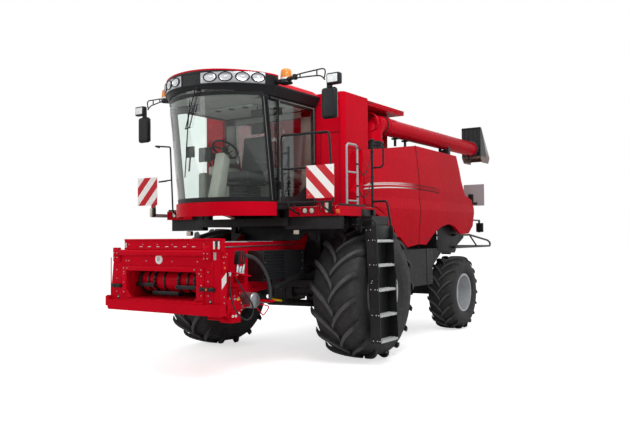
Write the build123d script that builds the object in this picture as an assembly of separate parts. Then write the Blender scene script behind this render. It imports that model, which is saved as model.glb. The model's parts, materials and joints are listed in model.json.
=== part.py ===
from build123d import *
import os
from math import cos, hypot, pi, radians, sin, tan

# Combine harvester without its header. Millimetres, X to the machine's left, Y to its rear, Z up.
# Every y below is measured from the front axle; save() moves the parts so that the origin lies
# on the ground midway along the machine.
MIDDLE_Y = 1372.0           # from the front axle back to the middle of the length

# Overall sizes
WHEELBASE = 3640.0
PIN_GAP = 0.3               # running clearance of pins, shafts and hinges, on the radius
CLEAR = 6.0                 # clearance between moving pieces elsewhere

# Wheels: outer radius, tyre width, half track, bead radius, flange radius, rim width
FRONT_R, FRONT_W, FRONT_X = 945.0, 740.0, 1385.0
FRONT_BEAD, FRONT_FLANGE, FRONT_RIM_W = 432.0, 460.0, 620.0
REAR_R, REAR_W, REAR_X = 680.0, 500.0, 1220.0
REAR_BEAD, REAR_FLANGE, REAR_RIM_W = 330.0, 352.0, 440.0
FLANGE_T = 12.0             # rim flange thickness
BARREL_T = 14.0             # rim barrel thickness
DISC_T = 24.0
FRONT_SPINDLE_R = 60.0
REAR_SPINDLE_R = 45.0
FRONT_DISC_X = -105.0       # disc's middle from the wheel's middle, outboard positive
REAR_DISC_X = -30.0
FRONT_HUB_R, REAR_HUB_R = 150.0, 105.0

# Chassis
BODY_X = 760.0              # half width of the threshing body
TAIL_X = 590.0              # its half width between the steered wheels
BODY_FRONT = -250.0
BODY_TOP = 2130.0
BODY_REAR = 3900.0
RAIL_T = 85.0
RAIL_LOW, RAIL_HIGH = 1060.0, 1200.0

# Rear axle
KING_X = 950.0
KING_R = 35.0
BOSS_R = 75.0
BEAM_LOW, BEAM_HIGH, BEAM_HALF = 630.0, 850.0, 70.0
ARM_LEN = 180.0             # steering arm, from the kingpin back
TIE_R = 20.0
TIE_Z = 626.0
TIE_BARREL_R = 50.0

# Grain tank and deck
TANK_X = 1315.0
TANK_NARROW_X = 1000.0      # left wall behind the front part, beside the auger
TANK_FRONT, TANK_STEP, TANK_REAR = -420.0, 280.0, 1490.0
TANK_WALL = 25.0
TANK_FLOOR, TANK_RIM, TANK_TOP = 2400.0, 3735.0, 3810.0
TANK_LOW = BODY_TOP + PIN_GAP
LID_T = 45.0
LID_GAP = 5.0
DECK_REAR = 3480.0
DECK_TOP = 3205.0
DECK_T = 40.0

# Side panels: outline values shared by the panels, fenders and the rear hood
PANEL_T = 30.0
PANEL_FRONT = -50.0
PANEL_SEAM = 1800.0
PANEL_TOP_FRONT, PANEL_TOP_REAR = 2998.0, 3250.0
ARCH_R = 1262.0             # front wheel arch, about the front axle
ARCH_BAND = 85.0
# outside of a side panel from the top down: x, z
PANEL_SECTION = ((1360, 3262), (1402, 2965), (1440, 2520), (1432, 2340), (1450, 2180), (1400, 1540))

# Rotary air screen in the right rear panel
SCREEN_Y, SCREEN_Z, SCREEN_R = 2640.0, 2740.0, 370.0
SCREEN_SHAFT_R = 30.0

# Unloading auger
AUGER_X, AUGER_Y, AUGER_Z = 1180.0, 690.0, 3495.0
AUGER_R = 140.0
AUGER_END = 4850.0
AUGER_LEAN = 6.0            # degrees that the swing axis leans back
NECK_R = 150.0
NECK_LEN = 300.0
FLANGE_R = 172.0

# Cab
CAB_SIDE = 845.0            # outside of the frame
CAB_WALL = 40.0
CAB_REAR = -430.0
CAB_FLOOR, CAB_SILL, CAB_HEAD = 2120.0, 2215.0, 3620.0
PILLAR_FOOT, PILLAR_HEAD = -1430.0, -1620.0
SCREEN_FOOT, SCREEN_HEAD = -1960.0, -2110.0
SCREEN_T = 8.0
DOOR_T = 30.0
DOOR_FRONT, DOOR_REAR = -1375.0, -490.0
DOOR_LOW, DOOR_HIGH = 2190.0, 3605.0
DOOR_X = CAB_SIDE + 5.0
ROOF_X, ROOF_WAIST, ROOF_REAR = 930.0, -1520.0, -420.0      # half width, and where its straight sides start
BROW_X, BROW_SIDE, BROW_FRONT = 885.0, -1640.0, -2165.0      # the round front: its ends and its middle
ROOF_LOW, ROOF_SEAM, ROOF_CROWN = CAB_HEAD + PIN_GAP, 3760.0, 3985.0
RIM_END, RIM_MIDDLE, RIM_T = 3875.0, 3922.0, 20.0      # top of the visor band: at the roof's sides and in the middle
HEAD_MIDDLE = 3685.0                      # top of the windscreen in the middle, CAB_HEAD at its ends
VISOR_REAR = -1450.0

# Platforms
DECK_Z = 2150.0
DECK_SHEET = 30.0
FASCIA_LOW = 2020.0
PLATFORM_FRONT, PLATFORM_REAR = -1163.0, -440.0
PLATFORM_OUT, PLATFORM_RIGHT = 1680.0, 1420.0
LANDING_OUT, LANDING_REAR = 1600.0, -130.0
RAIL_TUBE = 15.0
FRONT_RAIL_Y = -1400.0
LADDER_FRONT, LADDER_REAR = -640.0, -128.0

# Feeder
FEEDER_X = 620.0
FEEDER_WALL = 25.0
PIVOT_Y, PIVOT_Z = -300.0, 1750.0
FACE_Y, FACE_T = -2664.0, 100.0
FACE_LEFT, FACE_RIGHT, FACE_RIGHT_TOP = 1000.0, 930.0, 850.0
FACE_LOW, FACE_HIGH = 950.0, 1580.0
HOOK_RIGHT = 960.0
DRUM_Y, DRUM_Z, DRUM_R = -2330.0, 1200.0, 150.0
DRUM_SHAFT_R = 25.0
COUPLER_FRONT, COUPLER_REAR = -2510.0, -2110.0
LOOP_X, BUNDLE_X = 980.0, 900.0
LIFT_X = 520.0
LIFT_FOOT = (-80.0, 745.0)      # y, z of the barrel's pin
LIFT_HEAD = (-1750.0, 930.0)    # y, z of the rod's eye, feeder as parked
LIFT_BARREL_R, LIFT_ROD_R, LIFT_PIN_R = 50.0, 30.0, 22.0
LIFT_EYE_HOLE = 31.0

# Hoses on the feeder's left side: a single one in a loop under the couplers, and a sheathed bundle
LOOP_DIAMETER, BUNDLE_DIAMETER = 19.0, 48.0
HOSE_LOOP = ((LOOP_X, -2490, 1285), (LOOP_X, -2490, 1165), (LOOP_X + 6, -2477, 1035), (LOOP_X + 14, -2428, 905),
             (LOOP_X + 20, -2325, 795), (LOOP_X + 20, -2205, 735), (LOOP_X + 20, -2102, 763),
             (LOOP_X + 20, -2063, 855), (LOOP_X + 18, -2105, 950), (LOOP_X + 10, -2205, 1050),
             (LOOP_X + 2, -2300, 1160), (LOOP_X, -2368, 1258))
HOSE_BUNDLE = ((BUNDLE_X, -2170, 1520), (BUNDLE_X, -2040, 1520), (BUNDLE_X, -1900, 1480), (BUNDLE_X, -1760, 1375),
               (BUNDLE_X, -1650, 1225), (BUNDLE_X, -1600, 1075), (BUNDLE_X, -1600, 935))


def block(x, y, z):
    """A box between three pairs of limits."""
    size = (x[1] - x[0], y[1] - y[0], z[1] - z[0])
    return Pos((x[0] + x[1]) / 2, (y[0] + y[1]) / 2, (z[0] + z[1]) / 2) * Box(*size)


def side_plate(points, x):
    """An outline of (y, z) points, pushed out along X."""
    face = make_face(Plane.YZ.offset(x[0]) * Polyline(*points, close=True))
    return extrude(face, x[1] - x[0], dir=(1, 0, 0))


def front_plate(points, y):
    """An outline of (x, z) points, pushed out along Y."""
    plane = Plane(origin=(0, y[0], 0), x_dir=(1, 0, 0), z_dir=(0, -1, 0))
    return extrude(make_face(plane * Polyline(*points, close=True)), y[1] - y[0], dir=(0, 1, 0))


def crowned_block(half, low, end, middle, y):
    """A block along Y whose top is an arc from side to side, higher in the middle."""
    outline = (Polyline((-half, end), (-half, low), (half, low), (half, end))
               + ThreePointArc((half, end), (0, middle), (-half, end)))
    return extrude(Plane(origin=(0, y[0], 0), x_dir=(1, 0, 0), z_dir=(0, -1, 0)) * make_face(outline),
                   y[1] - y[0], dir=(0, 1, 0))


def floor_plate(points, z):
    """An outline of (x, y) points, pushed out along Z."""
    face = make_face(Plane.XY.offset(z[0]) * Polyline(*points, close=True))
    return extrude(face, z[1] - z[0], dir=(0, 0, 1))


def rod(start, end, radius):
    """A round bar between two points."""
    line = Vector(*end) - Vector(*start)
    return extrude(Plane(origin=start, z_dir=line) * Circle(radius), line.length)


def ring(outer, inner, x, y=0.0, z=0.0):
    """A round ring along X between two limits."""
    plane = Plane(origin=(x[0], y, z), x_dir=(0, 1, 0), z_dir=(1, 0, 0))
    profile = Circle(outer)
    if inner > 0:
        profile = profile - Circle(inner)
    return extrude(plane * profile, x[1] - x[0])


def tube(points, radius, bend):
    """A round tube along straight runs joined by arcs."""
    path = FilletPolyline(*points, radius=bend)
    return sweep(Plane(origin=path @ 0, z_dir=path % 0) * Circle(radius), path=path)


def other_side(shape):
    return mirror(shape, about=Plane.YZ)


# ---------------------------------------------------------------- wheels

def tyre(radius, width, bead, flange, rim_width):
    """Tyre as a closed ring: beads between the flanges, round side walls, crowned tread."""
    half, seat = width / 2, rim_width / 2 - FLANGE_T - 1
    foot_x, foot_r = rim_width / 2 + 2, flange + 2
    shoulder_x, shoulder_r = 0.92 * half, radius - 0.08 * (radius - bead)
    middle_r = bead + 0.55 * (radius - bead)
    outline = (
        Polyline((-foot_x, foot_r), (-seat, foot_r), (-seat, bead), (seat, bead), (seat, foot_r), (foot_x, foot_r))
        + ThreePointArc((foot_x, foot_r), (half, middle_r), (shoulder_x, shoulder_r))
        + ThreePointArc((shoulder_x, shoulder_r), (0, radius), (-shoulder_x, shoulder_r))
        + ThreePointArc((-shoulder_x, shoulder_r), (-half, middle_r), (-foot_x, foot_r))
    )
    return revolve(Plane.XZ * make_face(outline), Axis.X)


def rim(bead, flange, width, disc_x, hub_r, spindle_r):
    """Wheel rim, outboard to +X: barrel, two flanges, disc, hub and its bore."""
    half = width / 2
    outer = bead - PIN_GAP
    shape = ring(outer, outer - BARREL_T, (-half, half))
    for x in (-half, half - FLANGE_T):
        shape += ring(flange, outer - BARREL_T, (x, x + FLANGE_T))
    shape += ring(outer - 1, spindle_r + PIN_GAP, (disc_x - DISC_T / 2, disc_x + DISC_T / 2))
    shape += ring(hub_r, spindle_r + PIN_GAP, (disc_x - 3 * DISC_T / 2, disc_x + 2 * DISC_T))
    cap_x = disc_x + 2 * DISC_T
    shape += ring(hub_r * 0.8, 0, (cap_x + CLEAR, cap_x + 2 * DISC_T))
    shape += ring(hub_r * 0.8, spindle_r + PIN_GAP, (cap_x - 1, cap_x + CLEAR + 1))
    return shape


def wheels():
    front_tyre = tyre(FRONT_R, FRONT_W, FRONT_BEAD, FRONT_FLANGE, FRONT_RIM_W)
    front_rim = rim(FRONT_BEAD, FRONT_FLANGE, FRONT_RIM_W, FRONT_DISC_X, FRONT_HUB_R, FRONT_SPINDLE_R)
    rear_tyre = tyre(REAR_R, REAR_W, REAR_BEAD, REAR_FLANGE, REAR_RIM_W)
    rear_rim = rim(REAR_BEAD, REAR_FLANGE, REAR_RIM_W, REAR_DISC_X, REAR_HUB_R, REAR_SPINDLE_R)
    front, rear = Pos(FRONT_X, 0, FRONT_R), Pos(REAR_X, WHEELBASE, REAR_R)
    parts = {}
    for name, place, shape in (
        ("tyre_front", front, front_tyre), ("rim_front", front, front_rim),
        ("tyre_rear", rear, rear_tyre), ("rim_rear", rear, rear_rim),
    ):
        parts[name + "_left"] = place * shape
        parts[name + "_right"] = other_side(place * shape)
    return parts


# ---------------------------------------------------------------- chassis and axles

def front_axle():
    """Axle tube, gearbox, a final drive and spindle at each end, pads under the rails."""
    inner, outer = 860.0, FRONT_X - 205.0
    spindle_end = FRONT_X + FRONT_DISC_X + 2 * DISC_T
    shape = ring(110, 0, (-inner, inner), 0, FRONT_R)
    shape += block((-200, 200), (-150, 210), (780, RAIL_LOW - PIN_GAP))
    end = ring(250, 0, (inner, outer), 0, FRONT_R)
    end += ring(FRONT_SPINDLE_R, 0, (outer, spindle_end), 0, FRONT_R)
    end += block((BODY_X, BODY_X + RAIL_T), (-120, 120), (FRONT_R, RAIL_LOW - PIN_GAP))
    shape += end + other_side(end)
    y, z = LIFT_FOOT
    for x in (-LIFT_X, LIFT_X):
        for cheek in (x - 75, x + 50):
            outline = ((-110, 880), (y - 45, z - 45), (y + 45, z - 45), (110, 880))
            shape += side_plate(outline, (cheek, cheek + 25))
        shape += ring(LIFT_PIN_R, 0, (x - 75, x + 75), y, z)
    return shape


def rear_axle():
    """Beam with a boss at each end, its middle bracket, and the steering cylinder behind it."""
    y = WHEELBASE
    shape = block((-KING_X, KING_X), (y - BEAM_HALF, y + BEAM_HALF), (BEAM_LOW, BEAM_HIGH))
    shape += block((-130, 130), (y - 110, y + 110), (BEAM_HIGH - 20, 905))
    tie_y = y + ARM_LEN - 12
    for x in (-230.0, 190.0):
        shape += block((x, x + 40), (y + BEAM_HALF - 5, tie_y), (BEAM_LOW + 10, BEAM_LOW + 90))
    shape += ring(TIE_BARREL_R, 0, (-260, 260), tie_y, TIE_Z)
    shape -= ring(TIE_R + PIN_GAP, 0, (-300, 300), tie_y, TIE_Z)
    for x in (-KING_X, KING_X):
        low, high = (x, y, BEAM_LOW - 20), (x, y, BEAM_HIGH + 20)
        shape += rod(low, high, BOSS_R)
        shape -= rod((x, y, BEAM_LOW - 60), (x, y, BEAM_HIGH + 60), KING_R + PIN_GAP)
    return shape


def knuckle():
    """Left knuckle: kingpin, two cheeks, spindle and the steering arm with its pin."""
    x, y = KING_X, WHEELBASE
    low, high, cheek = BEAM_LOW - 20 - CLEAR, BEAM_HIGH + 20 + CLEAR, 30.0
    reach = BOSS_R + 10
    shape = rod((x, y, low - cheek), (x, y, high + cheek), KING_R)
    for z in (low - cheek, high):
        shape += rod((x, y, z), (x, y, z + cheek), BOSS_R - 20)
        shape += block((x, x + reach + 40), (y - 50, y + 50), (z, z + cheek))
    shape += block((x + reach, x + reach + 40), (y - 50, y + 50), (low - cheek, high + cheek))
    end = REAR_X + REAR_DISC_X + 2 * DISC_T
    shape += ring(REAR_SPINDLE_R + 30, 0, (x + reach + 30, REAR_X - 90), y, REAR_R)
    shape += ring(REAR_SPINDLE_R, 0, (REAR_X - 100, end), y, REAR_R)
    shape += block((x - 30, x + 30), (y, y + ARM_LEN + 30), (low - cheek, low))
    shape += rod((x, y + ARM_LEN, low - 5), (x, y + ARM_LEN, low + 38), 14)
    return shape


def tie_rod():
    """Rod through the steering cylinder, with an open eye over each steering arm's pin."""
    y = WHEELBASE + ARM_LEN - 12
    shape = ring(TIE_R, 0, (-KING_X, KING_X), y, TIE_Z)
    for x in (-KING_X, KING_X):
        eye = block((x - 42, x + 42), (y - 50, y + 50), (TIE_Z - 14, TIE_Z + 14))
        shape += eye
        shape -= block((x - 24, x + 24), (y - 34, y + 34), (TIE_Z - 40, TIE_Z + 40))
    return shape


def chassis_frame():
    """Two rails, the front cross beam, posts, and the beams that carry cab and platforms."""
    out, rear = BODY_X + PIN_GAP, BODY_FRONT - PIN_GAP
    rail = block((out, out + RAIL_T), (-330, 2700), (RAIL_LOW, RAIL_HIGH))
    rail += block((out, out + RAIL_T), (-330, rear), (RAIL_LOW, 2010))
    rail += block((out, out + RAIL_T), (-1120, rear), (1900, 2010))
    shape = rail + other_side(rail)
    shape += block((-out - RAIL_T, out + RAIL_T), (-330, rear), (1000, 1110))
    shape += block((-out - RAIL_T, out + RAIL_T), (-1120, -1030), (1900, 2010))
    for x in (-700.0, 600.0):
        for y in (-1120.0, -420.0):
            shape += block((x, x + 100), (y, y + 90), (1900, CAB_FLOOR))
    shape += block((-out, out), (-420, -330), (1900, 2010))
    shape += block((out, 1640), (-1080, -960), (1850, FASCIA_LOW + 100))
    shape += block((out, 1539), (-330, -272), (1905, DECK_Z - DECK_SHEET))
    shape += block((-1400, -out), (-1080, -960), (1850, FASCIA_LOW + 100))
    pivot = block((FEEDER_X + 20, out + 20), (PIVOT_Y - 40, rear), (PIVOT_Z - 60, PIVOT_Z + 60))
    pin = ring(30, 0, (FEEDER_X - 40, FEEDER_X + 40), PIVOT_Y, PIVOT_Z)
    shape += pivot + other_side(pivot) + pin + other_side(pin)
    return shape


def threshing_body():
    """Dark body between the wheels, narrower between the steered ones."""
    front = ((BODY_FRONT, 1210), (BODY_FRONT, BODY_TOP), (2700, BODY_TOP), (2700, 800),
             (1500, 730), (900, 760), (420, 830), (300, 1080))
    tail = ((2690, 800), (2690, BODY_TOP), (3640, BODY_TOP), (BODY_REAR, 1500), (BODY_REAR, 905), (2900, 905))
    shape = side_plate(front, (-BODY_X, BODY_X))
    shape += side_plate(tail, (-TAIL_X, TAIL_X))
    return shape


def chopper_housing():
    """Straw chopper behind the body, with a bearing boss above each spreader disc."""
    front = BODY_REAR + PIN_GAP
    outline = ((front, 1000), (front, 1500), (3660, BODY_TOP), (4050, 1760), (4700, 1560), (4640, 1450))
    shape = side_plate(outline, (-TAIL_X, TAIL_X))
    for x in (-340.0, 340.0):
        shape += block((x - 60, x + 60), (4600, 5010), (1500, 1560))
        shape += rod((x, 4950, 1500), (x, 4950, 1400), 25)
    return shape


def spreader_disc():
    """Left spreader disc with six bats, hung on its shaft."""
    x, y = 340.0, 4950.0
    shape = rod((x, y, 1400), (x, y, 1420), 300)
    shape += rod((x, y, 1395), (x, y, 1470), 60)
    for i in range(6):
        bat = Pos(x, y, 1380) * Rot(0, 0, 60 * i) * Pos(190, 0, 0) * Box(200, 12, 60)
        shape += bat
    shape -= rod((x, y, 1398), (x, y, 1500), 25 + PIN_GAP)
    return shape


def spreader_guard():
    """Tube guard round the spreaders: a D on each side, joined across the back."""
    x = 1300.0
    side = tube([(x, 3560, 1750), (x, 4300, 1755), (x, 5300, 1640), (x, 5600, 1535), (x, 5400, 1520),
                 (x, 3560, 1520)], 19, 40)
    side += rod((x, 3560, 1750), (TAIL_X + PIN_GAP, 3560, 1750), 19)
    side += rod((x, 3560, 1520), (TAIL_X + PIN_GAP, 3560, 1520), 19)
    side += rod((x, 4300, 1755), (x, 4700, 1520), 15)
    shape = side + other_side(side)
    shape += rod((-x, 5400, 1520), (x, 5400, 1520), 19)
    return shape


# ---------------------------------------------------------------- tank, engine bay and panels

def tank_plan(inset):
    """Plan of the tank: full width in front, narrower on the left beside the auger."""
    left, narrow = TANK_X - inset, TANK_NARROW_X - inset
    front, step, rear = TANK_FRONT + inset, TANK_STEP - inset, TANK_REAR - inset
    return ((-left, front), (left, front), (left, step), (narrow, step), (narrow, rear), (-left, rear))


def panel_top(y):
    """Height of the side panels' top edge."""
    share = (y - PANEL_FRONT) / (PANEL_SEAM - PANEL_FRONT)
    return PANEL_TOP_FRONT + min(share, 1.0) * (PANEL_TOP_REAR - PANEL_TOP_FRONT)


def skin_inside(z):
    """Inner face of a side panel at a height on its top slope."""
    (x0, z0), (x1, z1) = PANEL_SECTION[:2]
    return x0 + (x1 - x0) * (z - z0) / (z1 - z0) - PANEL_T


def hinge_lug(y, wall, highest=TANK_TOP):
    """Lug between a side wall and a panel's top edge, sloping with the panel's inner face."""
    high = min(panel_top(y - 40) - 4, highest)
    low = high - 40
    outline = ((wall - 5, low), (wall - 5, high), (skin_inside(high) - PIN_GAP, high), (skin_inside(low) - PIN_GAP, low))
    return front_plate(outline, (y - 40, y + 40))


def grain_tank():
    """Open box with a floor, the closed front top, the shelf over the auger and hinge lugs."""
    shape = floor_plate(tank_plan(0), (TANK_LOW, TANK_RIM))
    shape += block((-TANK_X, TANK_X), (TANK_FRONT, TANK_STEP), (TANK_LOW, TANK_TOP))
    shape = fillet(shape.edges().filter_by(Axis.Z).group_by(Axis.Y)[0], 60)
    shape -= floor_plate(tank_plan(TANK_WALL), (TANK_FLOOR, TANK_TOP - TANK_WALL))
    shape -= block((-TANK_X, TANK_X), (TANK_STEP + 0.01, TANK_REAR + 1), (TANK_RIM, TANK_TOP + 1))
    shape += block((TANK_NARROW_X - TANK_WALL, TANK_X - 5), (TANK_STEP - 1, TANK_REAR), (TANK_RIM - 20, TANK_RIM))
    shape += block((-TANK_X, TANK_NARROW_X), (TANK_REAR - TANK_WALL - 60, TANK_REAR), (TANK_RIM - 60, TANK_RIM))
    for y in (420.0, 1380.0):
        lug = block((TANK_X - 30, TANK_X - 6), (y - 50, y + 50), (TANK_RIM - 10, TANK_RIM + LID_GAP - PIN_GAP))
        shape += lug + other_side(lug)
    for y in (60.0, 200.0):
        lug = hinge_lug(y, TANK_X)
        shape += lug + other_side(lug)
    lug = hinge_lug(1300.0, TANK_X)
    return shape + other_side(lug)


def tank_lid():
    """Left lid over the tank and the auger's elbow, hinged at its outer edge."""
    low = TANK_RIM + LID_GAP
    shape = block((5, TANK_X - 5), (TANK_STEP + 40, TANK_REAR), (low, low + LID_T))
    return shape


def engine_bay():
    """Deck floor, rear wall and top cover around the engine, with the panels' hinge lugs."""
    front, x = TANK_REAR + PIN_GAP, TANK_X
    low = TANK_LOW
    outline = ((front, low), (DECK_REAR, low), (DECK_REAR, DECK_TOP), (front, DECK_TOP),
               (front, DECK_TOP - DECK_T), (DECK_REAR - DECK_T, DECK_TOP - DECK_T),
               (DECK_REAR - DECK_T, low + DECK_T), (front, low + DECK_T))
    shape = side_plate(outline, (-x, x))
    shape += block((-450, 450), (2150, 3250), (DECK_TOP - 5, DECK_TOP + 40))
    for y in (1600.0, 2100.0, 3200.0):
        lug = hinge_lug(y, x, DECK_TOP)
        shape += lug + other_side(lug)
    return shape


def engine_and_cooler():
    """Engine as one block, and the cooler with the air screen's stub shaft on the right."""
    low = TANK_LOW + DECK_T
    engine = block((-700, 480), (2250, 3150), (low, 3000))
    cooler = block((-1270, -900), (SCREEN_Y - 400, SCREEN_Y + 400), (low, SCREEN_Z + 400))
    cooler += ring(SCREEN_SHAFT_R, 0, (-1325, -1265), SCREEN_Y, SCREEN_Z)
    return engine + cooler


def air_screen():
    """Rotary screen: rim, hub and four arms behind a thin perforated disc."""
    x = -1322.0
    shape = ring(SCREEN_R, SCREEN_R - 25, (x, x + 36), SCREEN_Y, SCREEN_Z)
    shape += ring(SCREEN_R - 1, SCREEN_SHAFT_R + PIN_GAP, (x, x + 6), SCREEN_Y, SCREEN_Z)
    shape += ring(80, SCREEN_SHAFT_R + PIN_GAP, (x, x + 36), SCREEN_Y, SCREEN_Z)
    return shape


def panel_skin(front, rear):
    """Bent sheet of a left side panel between two y limits."""
    inner = [(x - PANEL_T, z) for x, z in PANEL_SECTION]
    return front_plate(list(PANEL_SECTION) + inner[::-1], (front, rear))


def side_panels():
    """Two panels a side, each hinged along its top edge."""
    parts = {}
    top = ((PANEL_FRONT, PANEL_TOP_FRONT), (PANEL_SEAM - 4, PANEL_TOP_REAR))
    low = ((PANEL_SEAM - 4, 1605), (1406, 1564), (1270, 1627), (1094, 1730), (PANEL_FRONT, 1730))
    front = side_plate(top + low, (1200, 1600)) & panel_skin(PANEL_FRONT, PANEL_SEAM - 4)
    front -= ring(ARCH_R, 0, (1200, 1600), 0, FRONT_R)
    rear_outline = ((PANEL_SEAM + 4, PANEL_TOP_REAR), (3536, 3232), (3637, 2765), (3752, 2506),
                    (4105, 2422), (4199, 2276), (4151, 1928), (3969, 1781), (3586, 1767),
                    (3257, 1915), (2965, 1952), (2626, 1889), (2352, 1766), (2087, 1594), (PANEL_SEAM + 4, 1605))
    rear = side_plate(rear_outline, (1200, 1600)) & panel_skin(PANEL_SEAM + 4, 4300)
    parts["side_panel_front_left"] = front
    parts["side_panel_front_right"] = other_side(front)
    parts["side_panel_rear_left"] = rear
    hole = ring(SCREEN_R + 30, 0, (-1600, -1200), SCREEN_Y, SCREEN_Z)
    parts["side_panel_rear_right"] = other_side(rear) - hole
    return parts


def fenders():
    """Wheel arch bands and the fixed corners in front of the panels."""
    inside, outside = TANK_X + PIN_GAP, 1438.0
    arch = ring(ARCH_R - CLEAR, ARCH_R - CLEAR - ARCH_BAND, (inside, outside), 0, FRONT_R)
    arch &= block((inside, outside), (-264, 838), (1700, 2400))
    corner = side_plate(((-264, 2150), (-264, 2385), (-118, 2522), (-80, 2960), (-62, 2960), (-62, 2150)),
                        (TANK_X + 1, outside - 10))
    left = arch + corner
    return left + other_side(left)


def rear_hood():
    """Bent shell that closes the rear between the panels, open below."""
    x, front = TANK_X, DECK_REAR + PIN_GAP
    outer = ((front, 3190), (3520, 3190), (3620, 2760), (3735, 2490), (4085, 2405), (4178, 2270), (4130, 1930))
    inner = ((4090, 1935), (4135, 2262), (4062, 2368), (3708, 2452), (3582, 2745), (front, 3150))
    shape = side_plate(outer + inner, (-x, x))
    cheek = outer + ((3985, 1800), (3700, 1790), (front, 1900))
    for low in (-x, x - 25):
        shape += side_plate(cheek, (low, low + 25))
    return shape


def fuel_tank():
    return block((BODY_X + RAIL_T + 2 * PIN_GAP, 1300), (1180, 2560), (900, 1520))


# ---------------------------------------------------------------- cab

def cab_plan(half, side_y, front_y, rear_y):
    """Plan face of the cab: straight sides, square rear and a round front."""
    outline = (
        ThreePointArc((-half, side_y), (0, front_y), (half, side_y))
        + Line((half, side_y), (half, rear_y))
        + Line((half, rear_y), (-half, rear_y))
        + Line((-half, rear_y), (-half, side_y))
    )
    return make_face(outline)


def cab_slab(half, side_y, front_y, rear_y, z):
    return extrude(Pos(0, 0, z[0]) * cab_plan(half, side_y, front_y, rear_y), z[1] - z[0])


def cab_frame():
    """Floor, rear wall with its window cut, the two leaning pillars and the head rails."""
    inner = CAB_SIDE - CAB_WALL
    shape = cab_slab(CAB_SIDE, PILLAR_FOOT, SCREEN_FOOT, CAB_REAR, (CAB_FLOOR, CAB_SILL - PIN_GAP))
    rear = block((-CAB_SIDE, CAB_SIDE), (CAB_REAR - CAB_WALL, CAB_REAR), (CAB_FLOOR, CAB_HEAD))
    rear -= block((-620, 620), (CAB_REAR - 100, CAB_REAR + 100), (2780, 3480))
    shape += rear
    pillar = side_plate(((PILLAR_FOOT + 3, CAB_SILL - 20), (PILLAR_FOOT + 50, CAB_SILL - 20),
                         (PILLAR_HEAD + 60, CAB_HEAD), (PILLAR_HEAD + 5, CAB_HEAD)), (inner, CAB_SIDE))
    pillar += block((inner, CAB_SIDE), (PILLAR_HEAD + 30, CAB_REAR), (CAB_HEAD - 45, CAB_HEAD))
    hinge_x = DOOR_X + DOOR_T
    pillar += block((inner + 5, hinge_x), (DOOR_FRONT - 30, DOOR_FRONT - PIN_GAP), (DOOR_LOW, CAB_SILL + 20))
    pillar += block((inner + 5, hinge_x), (DOOR_FRONT - 160, DOOR_FRONT - PIN_GAP), (CAB_HEAD - 45, DOOR_HIGH))
    shape += pillar + other_side(pillar)
    return shape


def cab_door():
    """Left door: a frame whose lower edge rises to the rear, hinged at its front edge."""
    shape = block((DOOR_X, DOOR_X + DOOR_T), (DOOR_FRONT, DOOR_REAR), (DOOR_LOW, DOOR_HIGH))
    front, rear = DOOR_FRONT + 35, DOOR_REAR - 45
    window = ((front, 2285), (front + 400, 2310), (rear, 2560), (rear, DOOR_HIGH - 50), (front, DOOR_HIGH - 50))
    shape -= side_plate(window, (DOOR_X - 1, DOOR_X + DOOR_T + 1))
    glass = side_plate(window, (DOOR_X + 10, DOOR_X + 18))
    return {"cab_door": shape, "cab_door_glass": glass}


def cab_glass():
    """Right pane, rear pane and the narrow pane between the left pillar and the door."""
    low, high = CAB_SILL + 25, CAB_HEAD - 50
    lean = (PILLAR_HEAD - PILLAR_FOOT) / (CAB_HEAD - CAB_SILL)

    def pillar_rear(z):
        return PILLAR_FOOT + 40 + lean * (z - CAB_SILL)

    right = side_plate(((pillar_rear(low), low), (pillar_rear(high), high), (CAB_REAR - 10, high), (CAB_REAR - 10, low)),
                       (-CAB_SIDE - SCREEN_T, -CAB_SIDE))
    quarter = side_plate(((DOOR_FRONT - 8, low), (DOOR_FRONT - 8, high - 20), (pillar_rear(high - 20), high - 20),
                          (pillar_rear(low), low)), (CAB_SIDE, CAB_SIDE + SCREEN_T))
    rear = block((-640, 640), (CAB_REAR - CAB_WALL - SCREEN_T, CAB_REAR - CAB_WALL), (2760, 3500))
    return right + quarter + rear


def windscreen():
    """Curved screen leaning forward, its ends in front of the pillars."""
    rise = (HEAD_MIDDLE - CAB_SILL) / (CAB_HEAD - CAB_SILL)
    ends = ((PILLAR_FOOT, PILLAR_HEAD), (SCREEN_FOOT, SCREEN_HEAD))
    side_head, front_head = (foot + rise * (head - foot) for foot, head in ends)
    feet = ((CAB_SILL, PILLAR_FOOT, SCREEN_FOOT), (HEAD_MIDDLE, side_head, front_head))

    def bow(inset, back):
        faces = []
        for z, side_y, front_y in feet:
            half = CAB_SIDE - inset
            outline = (
                ThreePointArc((-half, side_y + back), (0, front_y + inset), (half, side_y + back))
                + Line((half, side_y + back), (-half, side_y + back))
            )
            faces.append(Pos(0, 0, z) * make_face(outline))
        return loft(faces, ruled=True)

    under_visor = crowned_block(CAB_SIDE, CAB_SILL, CAB_HEAD - PIN_GAP, HEAD_MIDDLE - PIN_GAP, (BROW_FRONT, CAB_REAR))
    return (bow(0, -2) - bow(SCREEN_T, 10)) & under_visor


def roof_plan(inset, z):
    """Plan face of the roof: round in front, then widening to its straight sides."""
    brow, side, front = BROW_X - inset, BROW_SIDE + inset / 2, BROW_FRONT + inset
    half, rear = ROOF_X - inset, ROOF_REAR - inset
    outline = (
        ThreePointArc((-brow, side), (0, front), (brow, side))
        + Polyline((brow, side), (half, ROOF_WAIST + inset), (half, rear), (-half, rear), (-half, ROOF_WAIST + inset),
                   (-brow, side))
    )
    return Pos(0, 0, z) * make_face(outline)


def roof_slab(inset, z):
    return extrude(roof_plan(inset, z[0]), z[1] - z[0])


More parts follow.
